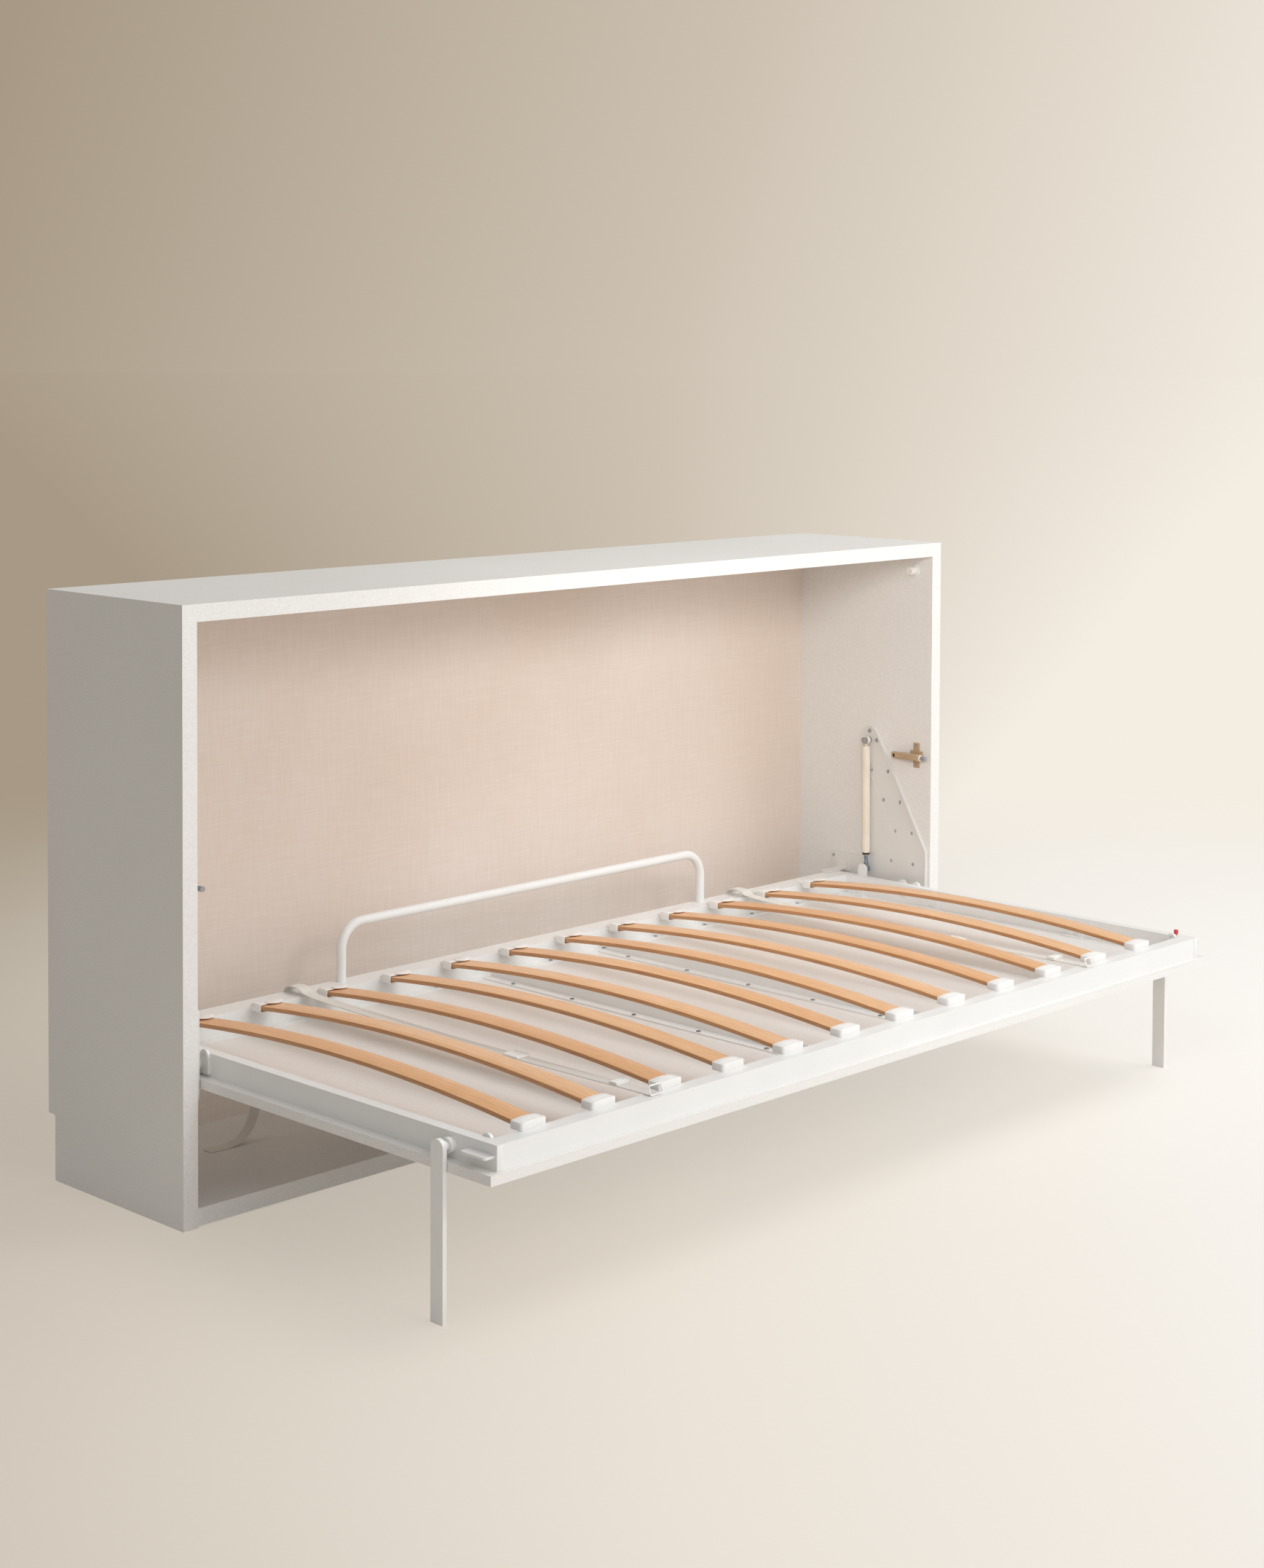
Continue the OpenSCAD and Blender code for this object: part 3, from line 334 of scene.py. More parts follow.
finishes = {
    "white_board": makeMelamine("whiteMelamine", "#F1EFEC", "#EDEBE7"),
    "back_board": makeLinenBoard(),
    "raw_board": makeChipboard(),
    "dowel_wood": makeDowelBeech(),
    "hinge_white": makePowderCoat("hingePowderCoat", "#E9E7E3", "#E4E2DE", 0.42),
    "plated_steel": makeZinc("zincPlatedSteel", "#C4C9CF", "#9FA5AD", 0.26, 0.44),
    "damper_bronze": makeMoulded("bronzeNylon", "#C2A888", "#B3977A", 0.36),
    "stud_white": makeMoulded("studNylon", "#F3F1ED", "#ECEAE5", 0.34, 0.1),
    "frame_white": makePowderCoat("framePowderCoat", "#F0F0EE", "#EBEBE9", 0.4),
    "bush_dark": makeMoulded("bushNylon", "#E6E4DF", "#DAD8D2", 0.45),
    "holder_white": makeMoulded("holderPolypropylene", "#F4F3F0", "#EFEDEA", 0.44, 0.1),
    "beech": makeBeech(slatPlan),
    "webbing": makeWebbing(),
    "buckle_white": makeMoulded("buckleAcetal", "#F5F4F1", "#EFEEEA", 0.36, 0.1),
    "leg_grey": makePowderCoat("legPowderCoat", "#F2F1EE", "#EDECE9", 0.4),
    "cylinder_cream": makeEnamel(),
    "rod_steel": makeZinc("jointZinc", "#A9BBCB", "#7E93A8", 0.18, 0.34),
    "plunger_grey": makeMoulded("plungerNylon", "#A2A1A3", "#8B8A8D", 0.3, 0.1),
    "cap_red": makeMoulded("capPolycarbonate", "#DF4552", "#D23846", 0.24, 0.05),
}
rubber = makeMoulded("sealRubber", "#4A3A34", "#3A2D29", 0.6)
print("materials made:", len(finishes) + 1)

for part in frame["record"]["subparts"]:
    for materialSlot in frame["nodes"][part["node"]].material_slots:
        materialSlot.material = finishes[part["material_slot"]]
print("frame nodes finished")


# Modelling helpers

near = 0.5  # mm, how close to a plane or a corner the picked faces and points lie
bite = 0.5  # mm, how far a joined piece reaches into its neighbour
square = 0.9  # a face looks along an axis where its normal's share is larger
quarter = math.radians(90)


def clearSelection():
    if bpy.context.object and bpy.context.object.mode != "OBJECT":
        bpy.ops.object.mode_set(mode="OBJECT")
    bpy.ops.object.select_all(action="DESELECT")


def selectOnly(piece):
    clearSelection()
    bpy.context.view_layer.objects.active = piece
    piece.select_set(True)


def applyPlace(piece, name):
    piece.name = name
    bpy.ops.object.transform_apply(location=True, rotation=True, scale=True)
    return piece


def addBlock(name, low, high):
    clearSelection()
    low, high = atWall(*low), atWall(*high)
    bpy.ops.mesh.primitive_cube_add(size=1, location=(low + high) / 2, scale=high - low)
    return applyPlace(bpy.context.object, name)


def addPlate(name, middle, width, depth, lean=0.0):  # a flat face, leaned about X
    clearSelection()
    bpy.ops.mesh.primitive_plane_add(size=1, location=atWall(*middle), rotation=(lean, 0, 0))
    bpy.context.object.scale = (width / 1000, depth / 1000, 1)
    return applyPlace(bpy.context.object, name)


def addRound(name, start, end, radius, sides=32):
    clearSelection()
    start, end = atWall(*start), atWall(*end)
    along = end - start
    bpy.ops.mesh.primitive_cylinder_add(vertices=sides, radius=radius / 1000, depth=along.length,
                                        location=(start + end) / 2,
                                        rotation=along.to_track_quat("Z", "Y").to_euler())
    return applyPlace(bpy.context.object, name)


def choose(piece, kind, wanted):  # edit mode, with only the wanted faces, edges or verts selected
    bpy.context.view_layer.objects.active = piece
    if piece.mode != "EDIT":
        bpy.ops.object.mode_set(mode="EDIT")
    bpy.ops.mesh.select_mode(type=kind)
    bpy.ops.mesh.select_all(action="DESELECT")
    shape = bmesh.from_edit_mesh(piece.data)
    shape.normal_update()
    for item in {"FACE": shape.faces, "EDGE": shape.edges, "VERT": shape.verts}[kind]:
        if wanted(item):
            item.select_set(True)
    shape.select_flush_mode()
    bmesh.update_edit_mesh(piece.data)


def cutAt(piece, point, normal):  # a cut right through, point in mm
    choose(piece, "FACE", lambda face: True)
    bpy.ops.mesh.bisect(plane_co=atWall(*point), plane_no=normal)


def middleOf(face):
    point = face.calc_center_median() * 1000
    return Vector((point.x, point.y - wallToOrigin, point.z))


def placeOf(vert):
    return Vector((vert.co.x * 1000, vert.co.y * 1000 - wallToOrigin, vert.co.z * 1000))


def runsAlong(edge, axis):  # true for an edge that reaches over 10 mm that way
    return abs(edge.verts[0].co[axis] - edge.verts[1].co[axis]) > 0.01


def extrudeBy(move):  # the selected faces, in mm
    bpy.ops.mesh.extrude_region_move(TRANSFORM_OT_translate={"value": Vector(move) / 1000})


def pushFaces(piece, wanted, move):
    choose(piece, "FACE", wanted)
    extrudeBy(move)


def insetFaces(piece, wanted, width, each=False):
    choose(piece, "FACE", wanted)
    bpy.ops.mesh.inset(thickness=width / 1000, depth=0, use_individual=each)


def applyModifier(piece, kind, **settings):
    selectOnly(piece)
    modifier = piece.modifiers.new(kind.lower(), kind)
    for name, value in settings.items():
        setattr(modifier, name, value)
    bpy.ops.object.modifier_apply(modifier=modifier.name)


def softenEdges(piece, width, segments=2, limit=35):
    applyModifier(piece, "BEVEL", width=width / 1000, segments=segments, limit_method="ANGLE",
                  angle_limit=math.radians(limit))


def tidyMesh(piece, recalculate=False):
    choose(piece, "VERT", lambda vert: True)
    bpy.ops.mesh.remove_doubles(threshold=0.000005)
    if recalculate:
        bpy.ops.mesh.normals_make_consistent(inside=False)
    clearSelection()


def duplicate(piece):  # a copy with its own mesh
    selectOnly(piece)
    bpy.ops.object.duplicate(linked=False)
    return bpy.context.object


def copyTo(piece, name, move):  # a copy moved by millimetres
    twin = duplicate(piece)
    twin.location = Vector(move) / 1000
    return applyPlace(twin, name)


def mirrorTo(piece, name):  # a copy on the cabinet's other side
    twin = duplicate(piece)
    twin.scale = (-1, 1, 1)
    applyPlace(twin, name)
    tidyMesh(twin, True)
    return twin


def joinAll(pieces, name):
    clearSelection()
    for piece in pieces:
        piece.select_set(True)
    bpy.context.view_layer.objects.active = pieces[0]
    if len(pieces) > 1:
        bpy.ops.object.join()
    pieces[0].name = name
    return pieces[0]


def finishPiece(piece, body, slotName, nodes=(), material=None, angle=32):
    selectOnly(piece)
    bpy.ops.object.shade_smooth_by_angle(angle=math.radians(angle))
    piece.data.materials.clear()
    piece.data.materials.append(material or finishes[slotName])
    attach(piece, body)
    if nodes:
        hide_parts(*nodes)
    return piece


# Stage and light

stagePlan = {"reach": 150, "near": 1.5, "far": 4.4,  # m, the shadowed paper turns into backdrop in between
             "aside": (0.698, -0.716, 0),  # the paper and the backdrop are painted paler towards this side and darker away from it, a painted shade
             # the paper's and the backdrop's colours, from the dark side through the middle to the pale side:
             # a painted shade graded across the stage
             "floor": ("#C3B8A8", "#F0E8DC", "#FFFDFA"), "floorSpread": 1.9,  # m
             "backdrop": ("#A79985", "#CCC0B0", "#F4EDE2"),
             "farSpread": 0.27,  # sine of the angle from the middle
             "rise": 0.6,  # how fast the backdrop's painted shade darkens it upwards
             "paintedGlow": 0.6, "paintedGlowStrength": 1.0}  # how far the paper's shadows are lightened by a painted glow in its own colour, seen directly only


def seenDirectly(tree):  # 1 for camera, mirror and glass rays
    path = addNode(tree, "LightPath").node.outputs
    seen = addNode(tree, "Math", links={0: path["Is Camera Ray"], 1: path["Is Glossy Ray"]},
                   operation="MAXIMUM")
    return addNode(tree, "Math", links={0: seen, 1: path["Is Transmission Ray"]}, operation="MAXIMUM")


def shareTowards(tree, where, direction):
    return addNode(tree, "VectorMath", {1: direction}, {0: where}, out="Value", operation="DOT_PRODUCT")


# a colour graded from one side to the other, and darker upwards with height: the painted shade of the paper
# and the backdrop
def graded(tree, value, spread, codes, height=None, rise=0.0):
    share = addNode(tree, "MapRange", {"From Min": -spread, "From Max": spread}, {"Value": value})
    if height:
        share = addNode(tree, "Math", {1: -rise}, {0: height, 2: share}, operation="MULTIPLY_ADD")
    return ramp(tree, share, zip((0.0, 0.5, 1.0), codes))


def makeStage(plan):
    clearSelection()
    bpy.ops.mesh.primitive_circle_add(vertices=96, radius=plan["reach"], fill_type="NGON")
    floor = bpy.context.object
    floor.name = "studioFloor"
    material = bpy.data.materials.new("studioPaper")
    material.use_nodes = True
    tree = material.node_tree
    tree.nodes.clear()
    where = addNode(tree, "TexCoord", out="Object")
    distance = addNode(tree, "VectorMath", links={0: where}, out="Value", operation="LENGTH")
    far = addNode(tree, "MapRange", {"From Min": plan["near"], "From Max": plan["far"]}, {"Value": distance},
                  interpolation_type="SMOOTHSTEP")
    direct = seenDirectly(tree)
    seen = addNode(tree, "Math", links={0: far, 1: direct}, operation="MULTIPLY")
    aside = shareTowards(tree, where, plan["aside"])
    angle = addNode(tree, "Math", links={0: aside, 1: distance}, operation="DIVIDE")
    # the paper's colour: a painted shade, darker away from the pale side
    tone = graded(tree, aside, plan["floorSpread"], plan["floor"])
    paper = addNode(tree, "BsdfDiffuse", links={"Color": tone})
    # a painted glow in the paper's colour, seen directly only, lightens the shadows on the paper: painted
    # light
    paintedGlow = addNode(tree, "Emission", {"Strength": plan["paintedGlowStrength"]}, {"Color": tone})
    share = addNode(tree, "Math", {1: plan["paintedGlow"]}, {0: direct}, operation="MULTIPLY")
    lifted = addNode(tree, "MixShader", links={0: share, 1: paper, 2: paintedGlow})
    # the backdrop far off: a painted shade, darker away from the pale side
    backdrop = graded(tree, angle, plan["farSpread"], plan["backdrop"])
    glow = addNode(tree, "Emission", {"Strength": 1.0}, {"Color": backdrop})
    mixed = addNode(tree, "MixShader", links={0: seen, 1: lifted, 2: glow})
    addNode(tree, "OutputMaterial", links={0: mixed})
    floor.data.materials.append(material)


lightPlan = {
    "sky": {"colour": "#F7F7F8", "bright": (0.45, -0.85, 0.25),
            "from": (-0.6, 0.26), "to": (0.9, 0.94)},  # share towards the bright side, and strength there
    "lamps": {"keyLight": {"place": (-400, -5200, 2900), "aim": (150, -500, 450), "size": 1.6, "power": 40},
              "topLight": {"place": (2200, -2200, 4500), "aim": (300, -500, 300), "size": 3.0, "power": 72},
              "fillLight": {"place": (3500, -5500, 2400), "aim": (300, -600, 300), "size": 3.0, "power": 26},
              "innerLight": {"place": (-950, -1600, 1450), "aim": (995, -200, 550), "size": 0.5,
                             "power": 2.1, "spread": 70}},  # degrees
}


def makeLight(sky, lamps):
    world = bpy.data.worlds.new("studioSky")
    world.use_nodes = True
    bpy.context.scene.world = world
    tree = world.node_tree
    tree.nodes.clear()
    where = addNode(tree, "TexCoord", out="Generated")  # the direction
    aside = shareTowards(tree, where, stagePlan["aside"])
    bright = shareTowards(tree, where, sky["bright"])
    (dark, low), (pale, high) = sky["from"], sky["to"]
    strength = addNode(tree, "MapRange", {"From Min": dark, "From Max": pale, "To Min": low, "To Max": high},
                       {"Value": bright})
    light = addNode(tree, "Background", {"Color": colour(sky["colour"])}, {"Strength": strength})
    height = addNode(tree, "SeparateXYZ", links={0: where}, out="Z")
    # the backdrop seen directly: a painted shade, darker away from the pale side and upwards
    backdrop = graded(tree, aside, stagePlan["farSpread"], stagePlan["backdrop"], height, stagePlan["rise"])
    shown = addNode(tree, "Background", {"Strength": 1.0}, {"Color": backdrop})
    mixed = addNode(tree, "MixShader", links={0: seenDirectly(tree), 1: light, 2: shown})
    addNode(tree, "OutputWorld", links={0: mixed})
    for name, plan in lamps.items():
        bpy.ops.object.light_add(type="AREA", location=atWall(*plan["place"]))
        lamp = bpy.context.object
        lamp.name = name
        lamp.data.shape = "DISK"
        lamp.data.size = plan["size"]
        lamp.data.energy = plan["power"]
        lamp.data.spread = math.radians(plan.get("spread", 180))
        lamp.rotation_mode = "QUATERNION"
        aim = atWall(*plan["aim"]) - atWall(*plan["place"])
        lamp.rotation_quaternion = aim.to_track_quat("-Z", "Y")


makeStage(stagePlan)
makeLight(**lightPlan)
bpy.context.scene.view_settings.view_transform = "Standard"
print("stage and light set")


# Slats: a rounded section swept along the bow

def makeSlats(plan):
    front, rear = slatEnds(plan)
    middle, radius = slatBow(plan)
    outward = (rear - middle).normalized()
    start = rear + outward * plan["thickness"] / 2 + Vector((plan["first"], 0, 0))
    lean = math.atan2(outward.z, outward.y)
    slat = addPlate("slatBeech01", start, plan["width"], plan["thickness"], lean)
    choose(slat, "VERT", lambda vert: True)
    bpy.ops.mesh.bevel(offset=plan["rounding"] / 1000, segments=3, affect="VERTICES")
    choose(slat, "FACE", lambda face: True)
    turn = 2 * math.asin((rear - front).length / 2 / radius)
    bpy.ops.mesh.spin(steps=plan["steps"], angle=-turn, center=atWall(plan["first"], middle.y, middle.z),
                      axis=(1, 0, 0))
    tidyMesh(slat, True)
    slats = [slat]
    for i in range(1, plan["count"]):
        slats.append(copyTo(slat, "slatBeech%02d" % (i + 1), (plan["pitch"] * i, 0, 0)))
    for i, piece in enumerate(slats):
        finishPiece(piece, "bed", "beech", ["slat_%02d" % (i + 1)], angle=40)


makeSlats(slatPlan)
print("slats made")


# Slat holders: hollow mouths, a crowned ribbed top at the front and a rounded tongue at the rear

frontHolderPlan = {"width": 53, "front": -1082, "mouth": -1057, "seat": 289, "height": 14.5, "crown": 180,
                   "corner": 4, "facets": (-0.66, -0.33, 0, 0.33, 0.66), "row": 0.16,  # of the half width
                   "wall": 1.6, "pocket": 21, "ribs": (-1077.5, -1072.5), "ribWidth": 1.4, "ribDepth": 0.7,
                   "ribReach": 0.7, "soft": 0.5}
rearHolderPlan = {"width": 49, "mouth": -238.5, "back": -214.5, "low": 286.6, "height": 15, "wall": 1.7,
                  "pocket": 21.5, "tongue": 11.5, "tongueThickness": 2.5, "tongueFrom": 15, "root": 6,
                  "tongueCuts": (0, 0.18, 0.4, 0.6, 0.82),  # shares of the tongue's width
                  "tongueRound": ((0, 0.85), (0.18, 0.3), (0.82, 0.3), (1, 0.85)),  # and of its length
                  "footWidth": 24, "foot": (281, 294), "rail": (-204, 289), "footOn": 9,
                  "soft": 0.6, "footSoft": 0.8}


def joinHolders(holder, name, slats):  # one under each slat's end
    copies = [copyTo(holder, name, (slats["pitch"] * i, 0, 0)) for i in range(1, slats["count"])]
    return joinAll([holder] + copies, name)


def makeFrontHolders(plan, slats):
    x, half = slats["first"], plan["width"] / 2
    top = plan["seat"] + plan["height"]
    holder = addBlock("frontHolders", (x - half, plan["front"], plan["seat"]),
                      (x + half, plan["mouth"], top))
    choose(holder, "EDGE", lambda edge: runsAlong(edge, 2) and
           placeOf(edge.verts[0]).y < plan["front"] + near)
    bpy.ops.mesh.bevel(offset=plan["corner"] / 1000, segments=3, affect="EDGES")
    for part in plan["facets"]:
        cutAt(holder, (x + half * part, 0, 0), (1, 0, 0))
    for rib in plan["ribs"]:
        for side in (-0.5, 0.5):
            cutAt(holder, (x, rib + side * plan["ribWidth"], 0), (0, 1, 0))
    for part in (*plan["facets"][3:], 1):  # the crown falls towards both sides
        choose(holder, "VERT", lambda vert: placeOf(vert).z > top - near and
               abs(abs(placeOf(vert).x - x) - half * part) < half * plan["row"])
        bpy.ops.transform.translate(value=(0, 0, -(half * part) ** 2 / (2 * plan["crown"]) / 1000))
    for rib in plan["ribs"]:
        pushFaces(holder, lambda face: face.normal.z > 0.5 and
                  abs(middleOf(face).y - rib) < plan["ribWidth"] / 2 and
                  abs(middleOf(face).x - x) < half * plan["ribReach"], (0, 0, -plan["ribDepth"]))
    insetFaces(holder, lambda face: face.normal.y > square and middleOf(face).y > plan["mouth"] - near,
               plan["wall"])
    extrudeBy((0, -plan["pocket"], 0))
    tidyMesh(holder)
    softenEdges(holder, plan["soft"])
    finishPiece(joinHolders(holder, "frontHolders", slats), "bed", "holder_white", ["front_slat_holders"])


def makeRearHolders(plan, slats):
    x, half = slats["first"], plan["width"] / 2
    top = plan["low"] + plan["height"]
    left = x - half + plan["tongueFrom"]
    reach = x + half - left
    holder = addBlock("rearHolders", (x - half, plan["mouth"], plan["low"]), (x + half, plan["back"], top))
    cutAt(holder, (x, plan["mouth"] + plan["root"], 0), (0, 1, 0))
    for part in plan["tongueCuts"]:
        cutAt(holder, (left + reach * part, 0, 0), (1, 0, 0))
    pushFaces(holder, lambda face: face.normal.z > square and middleOf(face).x > left and
              middleOf(face).y < plan["mouth"] + plan["root"], (0, 0, plan["tongueThickness"]))
    pushFaces(holder, lambda face: face.normal.y < -square and middleOf(face).z > top,
              (0, -plan["tongue"], 0))
    for part, back in plan["tongueRound"]:
        choose(holder, "VERT", lambda vert: placeOf(vert).y < plan["mouth"] - near and
               abs(placeOf(vert).x - left - reach * part) < near)
        bpy.ops.transform.translate(value=(0, plan["tongue"] * back / 1000, 0))
    insetFaces(holder, lambda face: face.normal.y < -square and middleOf(face).z < top and
               abs(middleOf(face).y - plan["mouth"]) < near, plan["wall"])
    extrudeBy((0, plan["pocket"], 0))
    tidyMesh(holder)
    softenEdges(holder, plan["soft"])
    side, (railIn, railTop) = plan["footWidth"] / 2, plan["rail"]
    footLow, footTop = plan["foot"]
    foot = addBlock("rearHolderFoot", (x - side, plan["back"] - bite, footLow), (x + side, railIn, footTop))
    cutAt(foot, (x, 0, railTop), (0, 0, 1))
    pushFaces(foot, lambda face: face.normal.y > square and middleOf(face).z > railTop,
              (0, plan["footOn"], 0))
    softenEdges(foot, plan["footSoft"])
    holder = joinAll([holder, foot], "rearHolders")
    finishPiece(joinHolders(holder, "rearHolders", slats), "bed", "holder_white", ["rear_slat_holders"])


makeFrontHolders(frontHolderPlan, slatPlan)
makeRearHolders(rearHolderPlan, slatPlan)
print("slat holders made")


# Screws: a domed head with a cross recess, copied to every place

screwPlan = {"radius": 4.5, "height": 1.6, "sides": 12, "dome": 0.45,  # of the height
             "recess": 2.6, "waist": 0.42, "depth": 1.1}
frameScrewPlan = {"aside": -37, "rows": (-1063, -213), "top": 252,  # on the rails, beside each slat
                  "bars": (-177, 140), "first": -299, "pitch": 162.25, "count": 5, "barTop": 251.5,
                  "turn": 0.3}  # radians from one screw to the next
hingeScrewPlan = {"x": 992, "turns": (0.4, 0.5),  # right and left
                  "spots": [(-230, 614), (-251.5, 595), (-238, 528), (-284, 528), (-271.5, 462),
                            (-317.5, 462), (-305, 396), (-351, 396), (-296, 327), (-358, 327),
                            (-128, 317)]}


def makeScrewHead(plan):  # at the origin, looking up
    clearSelection()
    bpy.ops.mesh.primitive_cylinder_add(vertices=plan["sides"], radius=plan["radius"] / 1000,
                                        depth=plan["height"] / 1000, location=(0, 0, plan["height"] / 2000))
    head = applyPlace(bpy.context.object, "screwHead")
    underTop = plan["height"] / 1100  # m
    dome = plan["height"] * plan["dome"]
    choose(head, "EDGE", lambda edge: all(v.co.z > underTop for v in edge.verts))
    bpy.ops.mesh.bevel(offset=dome / 1000, segments=2, affect="EDGES")
    insetFaces(head, lambda face: face.normal.z > square and face.calc_center_median().z > underTop,
               plan["radius"] - dome - plan["recess"])
    shape = bmesh.from_edit_mesh(head.data)
    rim = [f for f in shape.faces if f.select][0].verts[:]
    rim.sort(key=lambda vert: math.atan2(vert.co.y, vert.co.x))
    for vert in rim[::3]:  # every third corner moves in, which leaves a cross
        vert.co.x *= plan["waist"]
        vert.co.y *= plan["waist"]
    bmesh.update_edit_mesh(head.data)
    extrudeBy((0, 0, -plan["depth"]))
    clearSelection()
    return head


def placeHead(head, spot, turn, name="screwHead", size=1.0):
    twin = duplicate(head)
    twin.location = atWall(*spot)
    twin.rotation_euler = turn
    twin.scale = (size, size, size)
    return applyPlace(twin, name)


def makeFrameScrews(head, plan, slats):
    spots = [(slats["first"] + slats["pitch"] * i + plan["aside"], y, plan["top"])
             for i in range(slats["count"]) for y in plan["rows"]]
    for x in plan["bars"]:
        spots += [(x, plan["first"] - k * plan["pitch"], plan["barTop"]) for k in range(plan["count"])]
    heads = [placeHead(head, spot, (0, 0, plan["turn"] * i)) for i, spot in enumerate(spots)]
    finishPiece(joinAll(heads, "frameScrewHeads"), "bed", "plated_steel", ["frame_screws"])


def makeHingeScrews(head, plan):
    heads = []
    for i, (y, z) in enumerate(plan["spots"]):
        for side, turn in zip((1, -1), plan["turns"]):
            heads.append(placeHead(head, (side * plan["x"], y, z), (turn * i, -side * quarter, 0)))
    finishPiece(joinAll(heads, "hingeScrewHeads"), "cabinet", "plated_steel", ["hinge_plate_screws"])


screwHead = makeScrewHead(screwPlan)
makeFrameScrews(screwHead, frameScrewPlan, slatPlan)
makeHingeScrews(screwHead, hingeScrewPlan)
print("screws made")


# Mattress straps: webbing from a wire ring on the front rail, through a buckle and a clip,
# over the rear rail and down its back

strapPlan = {"middles": (-608, 604), "width": 25, "thickness": 1.6,
             "front": -1091, "rise": -1067, "middle": -639.5, "fall": -212, "back": -151, "low": 250,
             "seat": 289.3, "sag": 4, "lowHalf": 60,  # half the length of the lowest stretch
             "arch": (-200, -164), "crest": 13, "backRise": 1, "fittingGap": 0.2}


def layStrap(name, centre, across, width, thickness):  # centre points in mm, across a unit vector
    points = [atWall(*p) for p in centre]
    half = Vector(across) * width / 2000
    mesh = bpy.data.meshes.new(name)
    lanes = (-1, -0.5, 0, 0.5, 1)
    verts = [point + half * lane for point in points for lane in lanes]
    count = len(lanes)
    faces = [(i * count + k, i * count + k + 1, (i + 1) * count + k + 1, (i + 1) * count + k)
             for i in range(len(points) - 1) for k in range(count - 1)]
    mesh.from_pydata(verts, [], faces)
    along = [0.0]
    for a, b in zip(points, points[1:]):
        along.append(along[-1] + (b - a).length * 1000)
    weave = mesh.uv_layers.new(name="weave")  # in millimetres
    for loop in mesh.loops:
        row, lane = divmod(loop.vertex_index, count)
        weave.data[loop.index].uv = (lanes[lane] * width / 2, along[row])
    piece = bpy.data.objects.new(name, mesh)
    bpy.context.scene.collection.objects.link(piece)
    applyModifier(piece, "SOLIDIFY", thickness=thickness / 1000, offset=0)
    softenEdges(piece, thickness * 0.3, 2, 50)
    return piece, along[-1] / 1000


def smoothRoute(points, step=8):  # rounds a route of corners into closely spaced points
    route = [Vector(p) for p in points]
    for _ in range(3):  # each round cuts every corner at a quarter
        cut = [route[0]]
        for a, b in zip(route, route[1:]):
            cut += [a.lerp(b, 0.25), a.lerp(b, 0.75)]
        route = cut + [route[-1]]
    even = [route[0]]
    for point in route[1:]:
        while (point - even[-1]).length > step * 1.5:
            even.append(even[-1] + (point - even[-1]).normalized() * step)
        if (point - even[-1]).length > step * 0.35:
            even.append(point)
    if (even[-1] - route[-1]).length > 0.01:
        even[-1] = route[-1]
    return even


def strapHeight(plan, y):
    reach = (plan["fall"] - plan["rise"]) / 2
    return plan["seat"] + plan["thickness"] / 2 - plan["sag"] * max(0, 1 - abs(y - plan["middle"]) / reach)


def makeStraps(plan):
    top = plan["seat"] + plan["thickness"] / 2
    low = top - plan["sag"]
    for side, x in zip(("left", "right"), plan["middles"]):
        corners = [(x, plan["front"], top), (x, plan["rise"], top),
                   (x, plan["middle"] - plan["lowHalf"], low), (x, plan["middle"] + plan["lowHalf"], low),
                   (x, plan["fall"], top)]
        corners += [(x, y, top + plan["crest"]) for y in plan["arch"]]  # the webbing stands off the rail
        corners += [(x, plan["back"], top + plan["backRise"]), (x, plan["back"], plan["low"])]
        route = smoothRoute(corners)
        strap, length = layStrap(side + "Webbing", route, (1, 0, 0), plan["width"], plan["thickness"])
        finishPiece(strap, "bed", "webbing", [side + "_strap"])
        print(side, "strap", round(length, 3))


makeStraps(strapPlan)


# The loose strap end hangs behind the panel and lies on the base

tailPlan = {"y": -162.5, "width": 25, "thickness": 1.4,
            "route": [(-625, 231), (-650, 231), (-668, 222), (-680, 150), (-692, 86), (-712, 48),
                      (-742, 33.4), (-800, 33.4)]}


def makeTail(plan):
    route = smoothRoute([(x, plan["y"], z) for x, z in plan["route"]])
    tail, length = layStrap("looseStrapEnd", route, (0, 1, 0), plan["width"], plan["thickness"])
    finishPiece(tail, "cabinet", "webbing", ["strap_tail"])
    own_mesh(tail)
    print("loose strap end", round(length, 3))


makeTail(tailPlan)


# Strap fittings: a wire ring on the front rail, a ladder buckle and a comb clip for each strap

ringPlan = {"foot": -1094, "height": 18, "width": 31, "wire": 2.6, "low": 289.6, "corner": 3, "lean": 70}
bucklePlan = {"y": -1010, "depth": 18, "width": 31, "thickness": 6, "wall": 2.4,
              "hollow": 0.6,  # of the thickness
              "rearDrop": 1.6, "soft": 0.8}
clipPlan = {"y": -767, "depth": 37, "width": 31, "thickness": 4, "side": 3, "grooves": 5,
            "open": 0.45,  # of the pitch
            "hollow": 0.7, "soft": 0.5}


def makeRing(plan, x):
    wire = plan["wire"] / 2
    lean = math.radians(plan["lean"])
    reach = plan["height"] - plan["wire"]
    middle = (x, plan["foot"] + reach / 2 * math.cos(lean), plan["low"] + wire + reach / 2 * math.sin(lean))
    ring = addPlate("strapRing", middle, plan["width"] - plan["wire"], reach, lean)
    choose(ring, "VERT", lambda vert: True)
    bpy.ops.mesh.bevel(offset=plan["corner"] / 1000, segments=4, affect="VERTICES")
    choose(ring, "FACE", lambda face: True)
    bpy.ops.mesh.delete(type="ONLY_FACE")
    selectOnly(ring)
    bpy.ops.object.convert(target="CURVE")
    ring = bpy.context.object
    ring.data.bevel_depth = wire / 1000
    ring.data.bevel_resolution = 3
    bpy.ops.object.convert(target="MESH")
    tidyMesh(bpy.context.object, True)
    return bpy.context.object


def addFitting(name, plan, x, seat):  # the block that a buckle or a clip is cut from
    half, deep = plan["width"] / 2, plan["depth"] / 2
    y, top = plan["y"], seat + plan["thickness"]
    return addBlock(name, (x - half, y - deep, seat), (x + half, y + deep, top))


